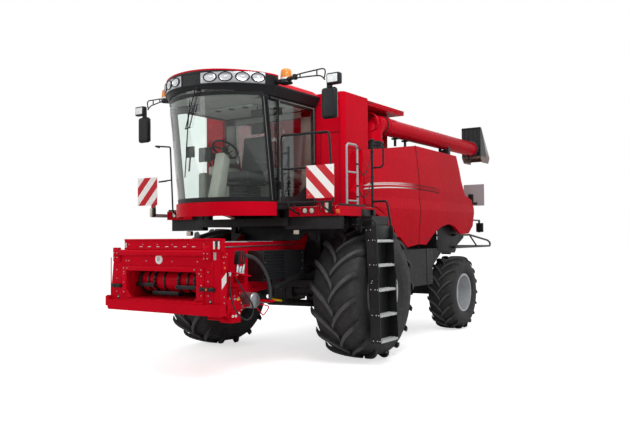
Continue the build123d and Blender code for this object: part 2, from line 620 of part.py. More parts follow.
def cab_roof():
    """Red roof, domed and falling to the rear, with a crowned rim over the black visor."""
    front = BROW_FRONT - 1
    rim = crowned_block(ROOF_X + 1, ROOF_SEAM, RIM_END + RIM_T, RIM_MIDDLE + RIM_T, (front, VISOR_REAR + RIM_T))
    fall = side_plate(((front, ROOF_SEAM), (front, ROOF_CROWN), (-1400, ROOF_CROWN), (-900, ROOF_CROWN - 60),
                       (-600, ROOF_CROWN - 130), (ROOF_REAR, ROOF_SEAM + 20), (ROOF_REAR, ROOF_SEAM)), (-ROOF_X, ROOF_X))
    shape = roof_slab(0, (ROOF_SEAM, ROOF_CROWN)) & rim
    shape += loft([roof_plan(10, ROOF_SEAM), roof_plan(60, ROOF_SEAM + 65), roof_plan(420, ROOF_CROWN)], ruled=True)
    return (shape & fall) - crowned_block(ROOF_X + 1, ROOF_LOW, RIM_END + PIN_GAP, RIM_MIDDLE + PIN_GAP, (front, VISOR_REAR))


def cab_visor():
    """Headliner with black side fascias, tapering to its crowned lower lip, and the lamp band above it."""
    shape = loft([roof_plan(50, ROOF_LOW), roof_plan(0, ROOF_SEAM - 20)], ruled=True)
    shape += roof_slab(0, (ROOF_SEAM - 20, ROOF_SEAM))
    shape -= crowned_block(CAB_SIDE, CAB_FLOOR, CAB_HEAD, HEAD_MIDDLE, (BROW_FRONT, PILLAR_HEAD))
    band = roof_slab(0, (ROOF_SEAM - 1, RIM_MIDDLE)) - roof_slab(120, (ROOF_SEAM, RIM_MIDDLE))
    band &= crowned_block(ROOF_X, ROOF_LOW, RIM_END, RIM_MIDDLE, (BROW_FRONT, VISOR_REAR - PIN_GAP))
    return shape + band


def cab_skirt():
    """Curved red band round the floor's front edge."""
    rear = PILLAR_FOOT + 20
    outer = cab_slab(CAB_SIDE + 30, PILLAR_FOOT, SCREEN_FOOT - 30, rear, (2030, CAB_SILL))
    inner = cab_slab(CAB_SIDE + PIN_GAP, PILLAR_FOOT, SCREEN_FOOT - PIN_GAP, rear + 50, (2000, CAB_SILL + 20))
    return outer - inner


def cab_seats():
    """Operator's seat in the middle and the folded instructor's seat on the left."""
    floor = CAB_SILL - PIN_GAP
    seats = []
    for x, y, wide in ((0.0, -1000.0, 520.0), (560.0, -830.0, 400.0)):
        seat = block((x - 150, x + 150), (y - 150, y + 200), (floor, floor + 330))
        seat += block((x - wide / 2, x + wide / 2), (y - 270, y + 230), (floor + 320, floor + 440))
        back = side_plate(((y + 130, floor + 430), (y + 260, floor + 1050), (y + 350, floor + 1050), (y + 240, floor + 430)),
                          (x - wide / 2, x + wide / 2))
        seats.append(seat + back)
    return seats[0] + seats[1]


def cab_controls():
    """Steering column with its wheel, and the armrest console with its screen."""
    floor = CAB_SILL - PIN_GAP
    column = side_plate(((-1720, floor), (-1560, floor), (-1440, floor + 620), (-1540, floor + 700)), (-75, 75))
    wheel = Pos(0, -1440, floor + 760) * Rot(-35, 0, 0) * Torus(190, 17)
    wheel += Pos(0, -1440, floor + 760) * Rot(-35, 0, 0) * (Box(370, 40, 20) + Cylinder(60, 40))
    column += wheel + rod((0, -1490, floor + 600), (0, -1440, floor + 760), 35)
    console = block((-420, -290), (-1330, -760), (floor + 430, floor + 560))
    console += block((-400, -310), (-1000, -860), (floor, floor + 440))
    console += block((-520, -280), (-1420, -1390), (floor + 620, floor + 820))
    console += rod((-380, -1300, floor + 540), (-400, -1400, floor + 700), 16)
    return column + console


# ---------------------------------------------------------------- outside the cab

def platforms():
    """Folded sheet decks with red fascias on both sides of the cab."""
    inner = DOOR_X + DOOR_T + 15
    low = DECK_Z - DECK_SHEET
    left = block((inner, PLATFORM_OUT), (PLATFORM_FRONT, PLATFORM_REAR), (low, DECK_Z))
    left += block((inner, PLATFORM_OUT), (PLATFORM_FRONT, PLATFORM_FRONT + 15), (FASCIA_LOW, DECK_Z))
    left += block((PLATFORM_OUT - 15, PLATFORM_OUT), (PLATFORM_FRONT, PLATFORM_REAR), (FASCIA_LOW, DECK_Z))
    left += block((TANK_X + 5, LANDING_OUT + 20), (PLATFORM_REAR - 5, -270), (low, DECK_Z))
    left += block((1446, LANDING_OUT + 20), (-275, LANDING_REAR), (low, DECK_Z))
    right = block((-PLATFORM_RIGHT, -inner), (PLATFORM_FRONT, PLATFORM_REAR), (low, DECK_Z))
    right += block((-PLATFORM_RIGHT, -inner), (PLATFORM_FRONT, PLATFORM_FRONT + 15), (FASCIA_LOW, DECK_Z))
    right += block((-PLATFORM_RIGHT, 15 - PLATFORM_RIGHT), (PLATFORM_FRONT, PLATFORM_REAR), (FASCIA_LOW, DECK_Z))
    return left + right


def handrails():
    """Left front rail, gate loop and rear post, right front rail."""
    r, y = RAIL_TUBE, FRONT_RAIL_Y
    front = tube([(970, y, 2200), (945, y, 3090), (1700, y, 3080), (1755, y, 2190)], r, 45)
    front += rod((958, y, 2640), (1728, y, 2640), r - 2)
    front += rod((970, y, 2200), (1755, y, 2190), r - 2)
    for x in (1060.0, 1600.0):
        front += tube([(x, y, 2200), (x, y, 2130), (x, PLATFORM_FRONT - 14, 2050)], r - 2, 30)
        front += block((x - 12, x + 12), (PLATFORM_FRONT - 30, PLATFORM_FRONT), (2040, 2070))
    x = LANDING_OUT
    gate = tube([(x, -810, DECK_Z), (x, -810, 3000), (x, -530, 3000), (x, -530, DECK_Z)], r, 60)
    for z in (2230.0, 2620.0):
        gate += rod((x, -810, z), (x, -530, z), r - 3)
    y = LADDER_REAR + RAIL_TUBE + 2
    post = rod((x, y, 2045), (x, y, 3100), r + 3)
    post += block((x - 30, x + 30), (y - 30, y + 30), (2040, DECK_Z - DECK_SHEET))
    post += tube([(x, y, 3040), (x + 180, y, 3040), (x + 180, y, 2720), (x, y, 2720)], r - 2, 60)
    post += tube([(x, y, 2240), (1830, y, 2240), (1905, y, 1800), (1965, y, 1180), (1940, y, 1090)], r, 40)
    post += block((1915, 1965), (LADDER_REAR + PIN_GAP, y + 10), (1070, 1110))
    y = FRONT_RAIL_Y + 120
    right = tube([(-1180, PLATFORM_FRONT - 13, 2060), (-1180, y, 2150), (-1230, y, 3120), (-1560, y, 3160),
                  (-1580, y + 110, 3150)], r - 3, 30)
    right += block((-1192, -1168), (PLATFORM_FRONT - 30, PLATFORM_FRONT), (2045, 2075))
    right += tube([(-1200, y, 2620), (-1520, y, 2600), (-1420, y + 110, 2620)], r - 4, 25)
    return front + gate + post + right


def ladder():
    """Ladder outside the left front wheel: two folded stringers, back panels and five steps."""
    foot_x, head_x, sheet = 1850.0, 1785.0, 12.0
    low, high, depth = 330.0, 1840.0, 150.0
    front, rear = LADDER_FRONT, LADDER_REAR
    outline = ((head_x, high), (head_x + depth, high), (foot_x + depth, low), (foot_x, low))
    shape = front_plate(outline, (front, front + sheet)) + front_plate(outline, (rear - sheet, rear))
    steps = (350.0, 690.0, 1030.0, 1360.0, 1690.0)
    for z, following in zip(steps, steps[1:] + (1710.0,)):
        x = foot_x + (head_x - foot_x) * (z - low) / (high - low)
        shape += block((x, x + depth - 5), (front, rear), (z - 30, z))
        shape += block((x, x + sheet), (front + sheet, rear - sheet), (z - 10, following - 20))
    shape += block((head_x, head_x + 90), (front, rear), (1680, 1900))
    shape += block((LANDING_OUT - 60, head_x + 90), (front + 10, rear - 27), (1905, FASCIA_LOW))
    shape += block((LANDING_OUT - 60, LANDING_OUT), (front + 10, rear - 27), (1905, DECK_Z - DECK_SHEET))
    return shape


def boards_and_tail_lamps():
    """Striped boards at the front and the rear, and tail lamps hung low on L-shaped arms."""
    side, sheet = 423.0, 3.0
    y = FRONT_RAIL_Y - RAIL_TUBE - sheet
    left = block((1357, 1357 + side), (y, y + sheet), (2240, 2240 + side))
    post = block((-1500, -1440), (y + sheet, y + 40), (2060, 2640))
    right = block((-1369 - side, -1369), (y, y + sheet), (2240, 2240 + side)) + post
    right += block((-1500, -PLATFORM_RIGHT - PIN_GAP), (y + 30, PLATFORM_FRONT + 60), (2060, 2110))
    y = 4500.0
    rear = block((1117, 1117 + side), (y, y + sheet), (2330, 2330 + side))
    rear += block((1250, 1290), (4110, y), (2370, 2410)) + block((1250, 1290), (y - 30, y), (2370, 2600))
    arm = block((1285, 1315), (4149, 4860), (2030, 2060)) + block((1285, 1315), (4820, 4860), (1800, 2060))
    arm += block((1230, 1370), (4850, 4890), (1810, 1990))
    return left + right + rear + other_side(rear) + arm + other_side(arm)


def mirrors():
    """Mirror arms from the roof's corners, with heads and arm lamps."""
    shapes = []
    for s, x, y in ((1, 1780.0, -1500.0), (-1, 1735.0, -1330.0)):
        arm = tube([(s * (ROOF_X + PIN_GAP), -1480, 3795), (s * 1076, -1480, 3795), (s * 1400, y, 3830), (s * (x - 80), y, 3800),
                    (s * x, y, 3700)], 22, 60)
        arm += rod((s * x, y, 3720), (s * x, y, 3400), 14)
        arm += block(tuple(sorted((s * (x - 110), s * (x + 110)))), (y - 45, y + 45), (3220, 3620))
        arm += block(tuple(sorted((s * (x - 20), s * (x + 170)))), (y - 60, y + 40), (3640, 3790))
        arm += rod((s * 1076, -1455, 3760), (s * 1076, -1455, 3835), 75)
        shapes.append(arm)
    return shapes[0] + shapes[1]


def beacons():
    left = rod((1076, -1455, 3835), (1076, -1455, 3945), 62)
    return left + other_side(left)


# ---------------------------------------------------------------- unloading auger

def swing_axis():
    return Vector(0, sin(radians(AUGER_LEAN)), cos(radians(AUGER_LEAN)))


def auger_supports():
    """Upright neck under the elbow, and the pad that the folded tube rests over."""
    middle, up = Vector(AUGER_X, AUGER_Y, AUGER_Z), swing_axis()
    top, foot = middle - up * (NECK_LEN + PIN_GAP), middle - up * 760
    neck = rod(tuple(foot), tuple(top), NECK_R + 10)
    neck += rod(tuple(middle - up * (NECK_LEN + 30)), tuple(top), FLANGE_R)
    neck += block((TANK_NARROW_X, AUGER_X), (600, 760), (2780, 2900))
    pad = block((AUGER_X - 60, AUGER_X + 60), (3380, 3460), (DECK_TOP, AUGER_Z - AUGER_R - CLEAR))
    return neck + pad


def auger_tube():
    """Elbow on the swing flange and the long tube with its ring joints."""
    middle, up = Vector(AUGER_X, AUGER_Y, AUGER_Z), swing_axis()
    foot = middle - up * NECK_LEN
    ahead = middle + Vector(0, 340, 0)
    shape = tube([tuple(foot), tuple(middle), tuple(ahead)], NECK_R, 190)
    shape += rod(tuple(foot), tuple(foot + up * 30), FLANGE_R)
    shape += ring_y(FLANGE_R - 12, ahead.Y - 20, ahead.Y + 20)
    shape += ring_y(AUGER_R, ahead.Y - 5, AUGER_END)
    shape += ring_y(AUGER_R + 12, AUGER_END - 60, AUGER_END)
    return shape


def ring_y(radius, start, end):
    return rod((AUGER_X, start, AUGER_Z), (AUGER_X, end, AUGER_Z), radius)


def auger_spout():
    """Hood at the tube's end: closed above, in front and behind, open below."""
    front, wall = AUGER_END - 60, 12
    outline = ((front, 3320), (front, 3930), (front + 60, 3940), (front + 520, 3345), (front + 440, 3225), (front + 90, 3225))
    shape = side_plate(outline, (AUGER_X - 205, AUGER_X + 190))
    inner = ((front + wall, 3200), (front + wall, 3918), (front + 54, 3927), (front + 505, 3345), (front + 440, 3200))
    shape -= side_plate(inner, (AUGER_X - 205 + wall, AUGER_X + 190 - wall))
    return shape - ring_y(AUGER_R + 12 + PIN_GAP, front - 20, AUGER_END + 0.5)


# ---------------------------------------------------------------- feeder

def feeder_housing():
    """Open duct from the face plate back to the pivot."""
    outer = ((FACE_Y + FACE_T, 960), (FACE_Y + FACE_T, 1600), (-2230, 1678), (-340, 1695), (-620, 1125), (-1900, 985))
    shape = side_plate(outer, (-FEEDER_X, FEEDER_X))
    inner = ((FACE_Y + FACE_T - 1, 985), (FACE_Y + FACE_T - 1, 1572), (-2226, 1653), (-330, 1670), (-600, 1152), (-1900, 1010))
    inside = FEEDER_X - FEEDER_WALL
    shape -= side_plate(inner, (-inside, inside))
    ear = side_plate(((-520, 1560), (-520, 1690), (PIVOT_Y - 30, PIVOT_Z + 52), (PIVOT_Y + 36, PIVOT_Z + 24),
                      (PIVOT_Y + 36, PIVOT_Z - 24), (PIVOT_Y - 20, PIVOT_Z - 55), (-400, 1600)),
                     (FEEDER_X - 30, FEEDER_X))
    shape += ear + other_side(ear)
    for x in (-LIFT_X, LIFT_X):
        for cheek in (x - 70, x + 48):
            y, z = LIFT_HEAD
            lug = ((y - 60, 1010), (y - 40, z - 35), (y + 40, z - 35), (y + 80, 1030))
            shape += side_plate(lug, (cheek, cheek + 22))
        shape += ring(LIFT_PIN_R, 0, (x - 70, x + 70), *LIFT_HEAD)
    shape -= ring(DRUM_SHAFT_R + PIN_GAP, 0, (-FEEDER_X - 5, FEEDER_X + 5), DRUM_Y, DRUM_Z)
    shape -= ring(30 + PIN_GAP, 0, (-FEEDER_X - 5, FEEDER_X + 5), PIVOT_Y, PIVOT_Z)
    return shape


def feeder_face():
    """Face plate that a header hangs on: opening, upper bar and lower beam with end hooks."""
    rear = FACE_Y + FACE_T
    outline = ((-FACE_RIGHT, FACE_LOW), (-FACE_RIGHT_TOP, FACE_HIGH), (FACE_LEFT, FACE_HIGH), (FACE_LEFT, FACE_LOW))
    shape = front_plate(outline, (FACE_Y, rear - PIN_GAP))
    window = ((-612, 1040), (-560, 986), (560, 986), (612, 1040), (612, 1334), (-612, 1334))
    shape -= front_plate(window, (FACE_Y - 10, rear + 10))
    shape += block((-640, FACE_LEFT + 20), (FACE_Y - 10, FACE_Y + 50), (FACE_HIGH - 5, 1735))
    shape += block((-HOOK_RIGHT + 40, FACE_LEFT + 20), (FACE_Y - 56, FACE_Y + 60), (830, FACE_LOW + 5))
    shape += block((-HOOK_RIGHT, -HOOK_RIGHT + 50), (FACE_Y - 56, FACE_Y + 20), (870, 1000))
    return shape


def feeder_drum():
    """Front drum on its shaft."""
    shape = ring(DRUM_R, 0, (-FEEDER_X + 60, FEEDER_X - 60), DRUM_Y, DRUM_Z)
    for x in (-420.0, -140.0, 140.0, 420.0):
        shape += ring(DRUM_R + 12, 0, (x - 12, x + 12), DRUM_Y, DRUM_Z)
    return shape + ring(DRUM_SHAFT_R, 0, (-FEEDER_X, FEEDER_X), DRUM_Y, DRUM_Z)


def header_drive():
    """Gearbox and hub on the feeder's left side, the coupler plate with its couplers and hose ends."""
    side = FEEDER_X
    shape = block((side, side + 200), (-2480, -2120), (760, 1120))
    shape += ring(150, 0, (side, side + 260), -2300, 900)
    shape += ring(95, 0, (side + 60, side + 330), -1980, 960)
    shape += block((side, side + 120), (-2200, -1900), (880, 1060))
    shape += block((side + 120, side + 300), (-2390, -2220), (715, 860))
    shape += block((side, 900), (-2470, -2430), (1100, 1560))
    slope = ((COUPLER_FRONT, 1353), (COUPLER_REAR, 1279), (COUPLER_REAR, 1264), (COUPLER_FRONT, 1338))
    shape += side_plate(slope, (side + 100, LOOP_X + 20))
    for y in (-2270.0, -2215.0, -2160.0):
        shape += rod((BUNDLE_X, y, 1275), (BUNDLE_X, y + 25, 1440), 20)
    shape += block((BUNDLE_X - 30, BUNDLE_X + 30), (-2260, HOSE_BUNDLE[0][1]), (1400, HOSE_BUNDLE[0][2] + 30))
    hose_end = Vector(*HOSE_LOOP[0])
    shape += rod(tuple(hose_end), tuple(hose_end + Vector(0, 0, 55)), 16)
    hose_end, before = Vector(*HOSE_LOOP[-1]), Vector(*HOSE_LOOP[-2])
    shape += rod(tuple(hose_end), tuple(hose_end + (hose_end - before).normalized() * 75), 16)
    x, y, z = HOSE_BUNDLE[-1]
    shape += block((side, side + 20), (y - 50, y + 50), (z - 30, 1090))
    shape += block((side, x + 40), (y - 40, y + 40), (z - 28, z))
    return shape


def hose(points, diameter):
    """A hanging hose: straight runs joined by arcs as large as the runs allow."""
    radii = []
    for before, corner, after in zip(points, points[1:], points[2:]):
        arriving, leaving = Vector(*corner) - Vector(*before), Vector(*after) - Vector(*corner)
        turn = radians(arriving.get_angle(leaving))
        radii.append(0.45 * min(arriving.length, leaving.length) / tan(turn / 2))
    print("hose of", diameter, "mm, radii", [round(r) for r in radii])
    path = FilletPolyline(*points, radius=radii)
    shape = sweep(Plane(origin=path @ 0, z_dir=path % 0) * Circle(diameter / 2), path=path)
    print("length", round(path.length), "volume over section times length",
          round(shape.volume / (pi * diameter ** 2 / 4 * path.length), 4))
    return shape


def drive_shield():
    """Ribbed black shield and the drive tube that runs back to the body."""
    side = FEEDER_X
    shape = block((side, side + 250), (-1700, -800), (1180, 1560))
    shape += rod((side + 220, -1500, 1050), (side + 220, -560, 1302), 55)
    shape += block((side + 150, side + 240), (-1500, -1350), (1050, 1200))
    return shape


def lift_direction():
    run, rise = LIFT_HEAD[0] - LIFT_FOOT[0], LIFT_HEAD[1] - LIFT_FOOT[1]
    return Vector(0, run, rise) * (1 / hypot(run, rise))


def lift_barrels():
    """Both lift cylinder barrels, on one pin line under the axle."""
    way = lift_direction()
    foot = Vector(0, *LIFT_FOOT)
    shapes = []
    for x in (-LIFT_X, LIFT_X):
        at = foot + Vector(x, 0, 0)
        barrel = rod(tuple(at + way * 30), tuple(at + way * 1050), LIFT_BARREL_R)
        barrel += ring(48, 0, (x - 40, x + 40), *LIFT_FOOT)
        barrel -= rod(tuple(at + way * 500), tuple(at + way * 1060), LIFT_ROD_R + PIN_GAP)
        barrel -= ring(LIFT_PIN_R + PIN_GAP, 0, (x - 60, x + 60), *LIFT_FOOT)
        shapes.append(barrel)
    return shapes[0] + shapes[1]


def lift_rods():
    """Both lift rods, with eyes left open round the feeder's pins."""
    way = lift_direction()
    head = Vector(0, *LIFT_HEAD)
    shapes = []
    for x in (-LIFT_X, LIFT_X):
        at = head + Vector(x, 0, 0)
        shape = rod(tuple(at - way * 840), tuple(at - way * (LIFT_EYE_HOLE + 2)), LIFT_ROD_R)
        shape += ring(LIFT_EYE_HOLE + 16, 0, (x - 38, x + 38), *LIFT_HEAD)
        shape -= ring(LIFT_EYE_HOLE, 0, (x - 60, x + 60), *LIFT_HEAD)
        shapes.append(shape)
    return shapes[0] + shapes[1]


# ---------------------------------------------------------------- all parts

def build():
    parts = wheels()
    parts.update({
        "front_axle": front_axle(),
        "rear_axle": rear_axle(),
        "knuckle_left": knuckle(),
        "knuckle_right": other_side(knuckle()),
        "tie_rod": tie_rod(),
        "chassis_frame": chassis_frame(),
        "threshing_body": threshing_body(),
        "chopper_housing": chopper_housing(),
        "spreader_disc_left": spreader_disc(),
        "spreader_disc_right": other_side(spreader_disc()),
        "spreader_guard": spreader_guard(),
        "grain_tank": grain_tank(),
        "tank_lid_left": tank_lid(),
        "tank_lid_right": other_side(tank_lid()),
        "engine_bay": engine_bay(),
        "engine_and_cooler": engine_and_cooler(),
        "air_screen": air_screen(),
        "rear_hood": rear_hood(),
        "fenders": fenders(),
        "fuel_tank": fuel_tank(),
        "cab_frame": cab_frame(),
        "cab_glass": cab_glass(),
        "windscreen": windscreen(),
        "cab_roof": cab_roof(),
        "cab_visor": cab_visor(),
        "cab_skirt": cab_skirt(),
        "cab_seats": cab_seats(),
        "cab_controls": cab_controls(),
        "platforms": platforms(),
        "handrails": handrails(),
        "ladder": ladder(),
        "boards_and_tail_lamps": boards_and_tail_lamps(),
        "mirrors": mirrors(),
        "beacons": beacons(),
        "auger_supports": auger_supports(),
        "auger_tube": auger_tube(),
        "auger_spout": auger_spout(),
        "feeder_housing": feeder_housing(),
        "feeder_face": feeder_face(),
        "feeder_drum": feeder_drum(),
        "header_drive": header_drive(),
        "drive_shield": drive_shield(),
        "feeder_hose_loop": hose(HOSE_LOOP, LOOP_DIAMETER),
        "feeder_hose_bundle": hose(HOSE_BUNDLE, BUNDLE_DIAMETER),
        "lift_barrels": lift_barrels(),
        "lift_rods": lift_rods(),
    })
    parts.update(side_panels())
    parts.update(cab_door())
    return parts


def save(parts):
    os.makedirs("parts", exist_ok=True)
    for name, shape in parts.items():
        export_step(Pos(0, -MIDDLE_Y, 0) * shape, f"parts/{name}.step")


if __name__ == "__main__":
    save(build())
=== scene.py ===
"""Looks of a combine harvester: treads, lamps, glass, cab fittings, hoses, chains and finishes on its rigid frame.

Sizes that a user may change stand in the two property groups. Places are given in millimetres from the
point on the ground under the middle of the front axle: X to the machine's left, Y to its rear, Z up.
"""

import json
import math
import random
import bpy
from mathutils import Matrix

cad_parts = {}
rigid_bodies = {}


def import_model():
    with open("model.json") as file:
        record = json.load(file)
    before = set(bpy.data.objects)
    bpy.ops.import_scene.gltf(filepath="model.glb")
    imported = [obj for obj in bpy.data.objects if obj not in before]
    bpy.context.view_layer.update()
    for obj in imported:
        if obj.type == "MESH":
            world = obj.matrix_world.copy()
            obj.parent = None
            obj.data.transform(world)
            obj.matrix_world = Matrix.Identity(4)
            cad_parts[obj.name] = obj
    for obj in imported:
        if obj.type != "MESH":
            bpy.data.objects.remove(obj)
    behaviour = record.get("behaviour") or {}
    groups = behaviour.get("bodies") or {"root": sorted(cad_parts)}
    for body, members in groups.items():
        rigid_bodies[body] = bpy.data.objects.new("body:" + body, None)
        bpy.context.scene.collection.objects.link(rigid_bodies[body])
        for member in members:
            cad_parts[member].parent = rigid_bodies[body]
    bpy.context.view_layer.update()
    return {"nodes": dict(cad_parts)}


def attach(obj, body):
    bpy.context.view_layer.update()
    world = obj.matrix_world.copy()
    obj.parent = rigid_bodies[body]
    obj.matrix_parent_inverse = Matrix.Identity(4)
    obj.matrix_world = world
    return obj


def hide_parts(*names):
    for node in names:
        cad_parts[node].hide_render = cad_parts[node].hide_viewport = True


bl_info = {
    "name": "Combine Harvester Looks",
    "version": (1, 0, 0),
    "blender": (4, 5, 0),
    "location": "View3D > Sidebar > Harvester",
    "description": "Dresses a combine harvester's rigid frame with treads, lamps, cab fittings and finishes",
    "category": "Object",
}

import bmesh
import bpy
from mathutils import Matrix, Vector

for leftover in list(bpy.data.objects):
    bpy.data.objects.remove(leftover)
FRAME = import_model()
NODES = FRAME["nodes"]
SHIFT = 1.372  # metres from the front axle back to the frame's own middle
SIDES = (("left", 1), ("right", -1))
X, Y, Z = Vector((1, 0, 0)), Vector((0, 1, 0)), Vector((0, 0, 1))
MADE = {}  # finishes by name


# ---------------------------------------------------------------- colours and nodes


def linear(code):
    """Turns an sRGB hex value such as C4122A into the linear colour that nodes take."""
    parts = [int(code[i : i + 2], 16) / 255 for i in (0, 2, 4)]
    return tuple(c / 12.92 if c <= 0.04045 else ((c + 0.055) / 1.055) ** 2.4 for c in parts) + (1.0,)


def add(tree, kind, sockets=None, out=0, **settings):
    """Adds one node and returns an output: sockets maps inputs to values or outputs, settings are its own."""
    made = tree.nodes.new("ShaderNode" + kind)
    for key, value in settings.items():
        setattr(made, key, value)
    for key, value in (sockets or {}).items():
        if isinstance(value, bpy.types.NodeSocket):
            tree.links.new(value, made.inputs[key])
        else:
            made.inputs[key].default_value = value
    return made.outputs[out]


def begin(name):
    """A new finish with its Principled shader and its object coordinates."""
    material = bpy.data.materials.new(name)
    material.use_nodes = True
    tree = material.node_tree
    shader = tree.nodes["Principled BSDF"]
    place = add(tree, "TexCoord", out="Object")
    MADE[name] = material
    return material, tree, shader, place


def finish(name, colour, mottle, roughness, patch_mm=400, grain_mm=6.0, relief_mm=0.05, dust=0.0, dust_top=1.2,
           dust_colour="8E8778", metallic=0.0, ior=1.5, level=0.25, coat=0.0, coat_roughness=0.08, round_mm=0.0,
           tone=None):
    """A coated, moulded or bare surface: colour drifting to mottle, roughness over a range, fine relief and dust.

    tone takes the tree, the place and the colour so far, and returns the colour with the piece's own marks."""
    material, tree, shader, place = begin(name)
    patches = add(tree, "MapRange", {0: add(tree, "TexNoise", {"Vector": place, "Scale": 1000 / patch_mm,
                                                               "Detail": 5}), 1: 0.35, 2: 0.65})
    shade = add(tree, "Mix", {0: patches, 6: linear(colour), 7: linear(mottle)}, 2, data_type="RGBA")
    if tone:
        shade = tone(tree, place, shade)
    low, high = roughness
    rough = add(tree, "MapRange", {0: add(tree, "TexNoise", {"Vector": place, "Scale": 5000 / patch_mm, "Detail": 4}),
                                   1: 0.3, 2: 0.7, 3: low, 4: high})
    if dust:
        height = add(tree, "MapRange", {0: add(tree, "SeparateXYZ", {0: place}, 2), 1: 0.0, 2: dust_top, 3: 1.0,
                                        4: 0.0})
        specks = add(tree, "MapRange", {0: add(tree, "TexNoise", {"Vector": place, "Scale": 1000 / 45, "Detail": 6,
                "Roughness": 0.65}), 1: 0.42, 2: 0.7})
        facing = add(tree, "SeparateXYZ", {0: add(tree, "NewGeometry", out="Normal")}, 2)
        lying = add(tree, "MapRange", {0: facing, 1: 0.2, 2: 1.0, 3: 0.35, 4: 1.0})
        share = add(tree, "Math", {0: add(tree, "Math", {0: height, 1: specks}, operation="MULTIPLY"),
                                   1: add(tree, "Math", {0: lying, 1: dust}, operation="MULTIPLY")},
                                   operation="MULTIPLY")
        shade = add(tree, "Mix", {0: share, 6: shade, 7: linear(dust_colour)}, 2, data_type="RGBA")
        rough = add(tree, "Math", {0: rough, 1: add(tree, "Math", {0: share, 1: 0.4}, operation="MULTIPLY")},
                    operation="ADD")
    sockets = {"Height": add(tree, "TexNoise", {"Vector": place, "Scale": 1000 / grain_mm, "Detail": 3}),
               "Distance": relief_mm / 1000, "Strength": 0.6}
    if round_mm:
        sockets["Normal"] = add(tree, "Bevel", {"Radius": round_mm / 1000}, samples=4)
    relief = add(tree, "Bump", sockets)
    for key, value in (("Base Color", shade), ("Roughness", rough), ("Normal", relief)):
        tree.links.new(value, shader.inputs[key])
    for key, value in (("Metallic", metallic), ("Coat Weight", coat), ("Coat Roughness", coat_roughness)):
        shader.inputs[key].default_value = value
    if not metallic:
        shader.inputs["IOR"].default_value = ior
        shader.inputs["Specular IOR Level"].default_value = level
    return material


# ---------------------------------------------------------------- shapes


def at(x, y, z):
    """A place in millimetres from under the front axle, in the frame's metres."""
    return Vector((x / 1000, y / 1000 - SHIFT, z / 1000))


def cuboid(bm, low, high, ease=3.0, segments=2):
    """A block between two corners in millimetres, its edges eased."""
    a, b = at(*low), at(*high)
    made = bmesh.ops.create_cube(bm, size=1)["verts"]
    bmesh.ops.scale(bm, vec=b - a, verts=made)
    bmesh.ops.translate(bm, vec=(a + b) / 2, verts=made)
    if ease:
        edges = list({e for v in made for e in v.link_edges})
        bmesh.ops.bevel(bm, geom=edges, offset=ease / 1000, affect="EDGES", segments=segments, profile=0.5,
                        material=-1, clamp_overlap=True)


def bar(bm, start, end, radius, sides=16, tip=None, ease=0.0):
    """A round bar or cone between two places in millimetres."""
    a, b = at(*start), at(*end)
    turn = (b - a).to_track_quat("Z", "Y").to_matrix().to_4x4()
    made = bmesh.ops.create_cone(bm, cap_ends=True, segments=sides, radius1=radius / 1000,
                                 radius2=(radius if tip is None else tip) / 1000, depth=(b - a).length,
                                 matrix=Matrix.Translation((a + b) / 2) @ turn)["verts"]
    if ease:
        faces = [f for f in {f for v in made for f in v.link_faces} if len(f.verts) > 4]
        edges = list({e for f in faces for e in f.edges})
        bmesh.ops.bevel(bm, geom=edges, offset=ease / 1000, affect="EDGES", segments=2, profile=0.5, material=-1)
    return made


def turned(bm, profile, middle, axis, steps=32):
    """A shape turned about an axis through middle: profile rows are (along the axis, radius) in millimetres."""
    centre = at(*middle)
    across = axis.orthogonal().normalized()
    row = [bm.verts.new(centre + axis * (a / 1000) + across * (max(r, 0.01) / 1000)) for a, r in profile]
    edges = [bm.edges.new(pair) for pair in zip(row, row[1:])]
    made = bmesh.ops.spin(bm, geom=row + edges, cent=centre, axis=axis, angle=math.tau, steps=steps, use_merge=True)
    return made


def plate(bm, outline, push, ease=0.0):
    """Sheet cut to an outline of places in millimetres, and pushed out by a vector in millimetres."""
    face = bm.faces.new([bm.verts.new(at(*p)) for p in outline])
    grown = bmesh.ops.extrude_face_region(bm, geom=[face])["geom"]
    fresh = [g for g in grown if isinstance(g, bmesh.types.BMVert)]
    bmesh.ops.translate(bm, vec=Vector(push) / 1000, verts=fresh)
    if ease:
        edges = list({e for v in fresh for e in v.link_edges} | {e for e in face.edges if face.is_valid})
        bmesh.ops.bevel(bm, geom=edges, offset=ease / 1000, affect="EDGES", segments=2, profile=0.5, material=-1,
                        clamp_overlap=True)


def heads(bm, places, direction, across, tall, sides=6):
    """Bolt or rivet heads standing on a surface: places in millimetres, direction outwards."""
    for p in places:
        top = tuple(Vector(p) + Vector(direction) * tall)
        bar(bm, p, top, across / 2, sides, tip=across / 2 * 0.86)


def settle(name, bm, material, body, smooth=35, merge=True):
    """Closes a mesh into a finished piece that rides on a body and takes its finish from a slot."""
    if merge:
        bmesh.ops.remove_doubles(bm, verts=bm.verts, dist=0.00002)
    bmesh.ops.recalc_face_normals(bm, faces=bm.faces)
    mesh = bpy.data.meshes.new(name)
    bm.to_mesh(mesh)
    bm.free()
    for m in material if isinstance(material, (list, tuple)) else [material]:
        mesh.materials.append(MADE[m])
    mesh.shade_smooth()
    mesh.set_sharp_from_angle(angle=math.radians(smooth))
    piece = bpy.data.objects.new(name, mesh)
    bpy.context.scene.collection.objects.link(piece)
    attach(piece, body)
    return piece


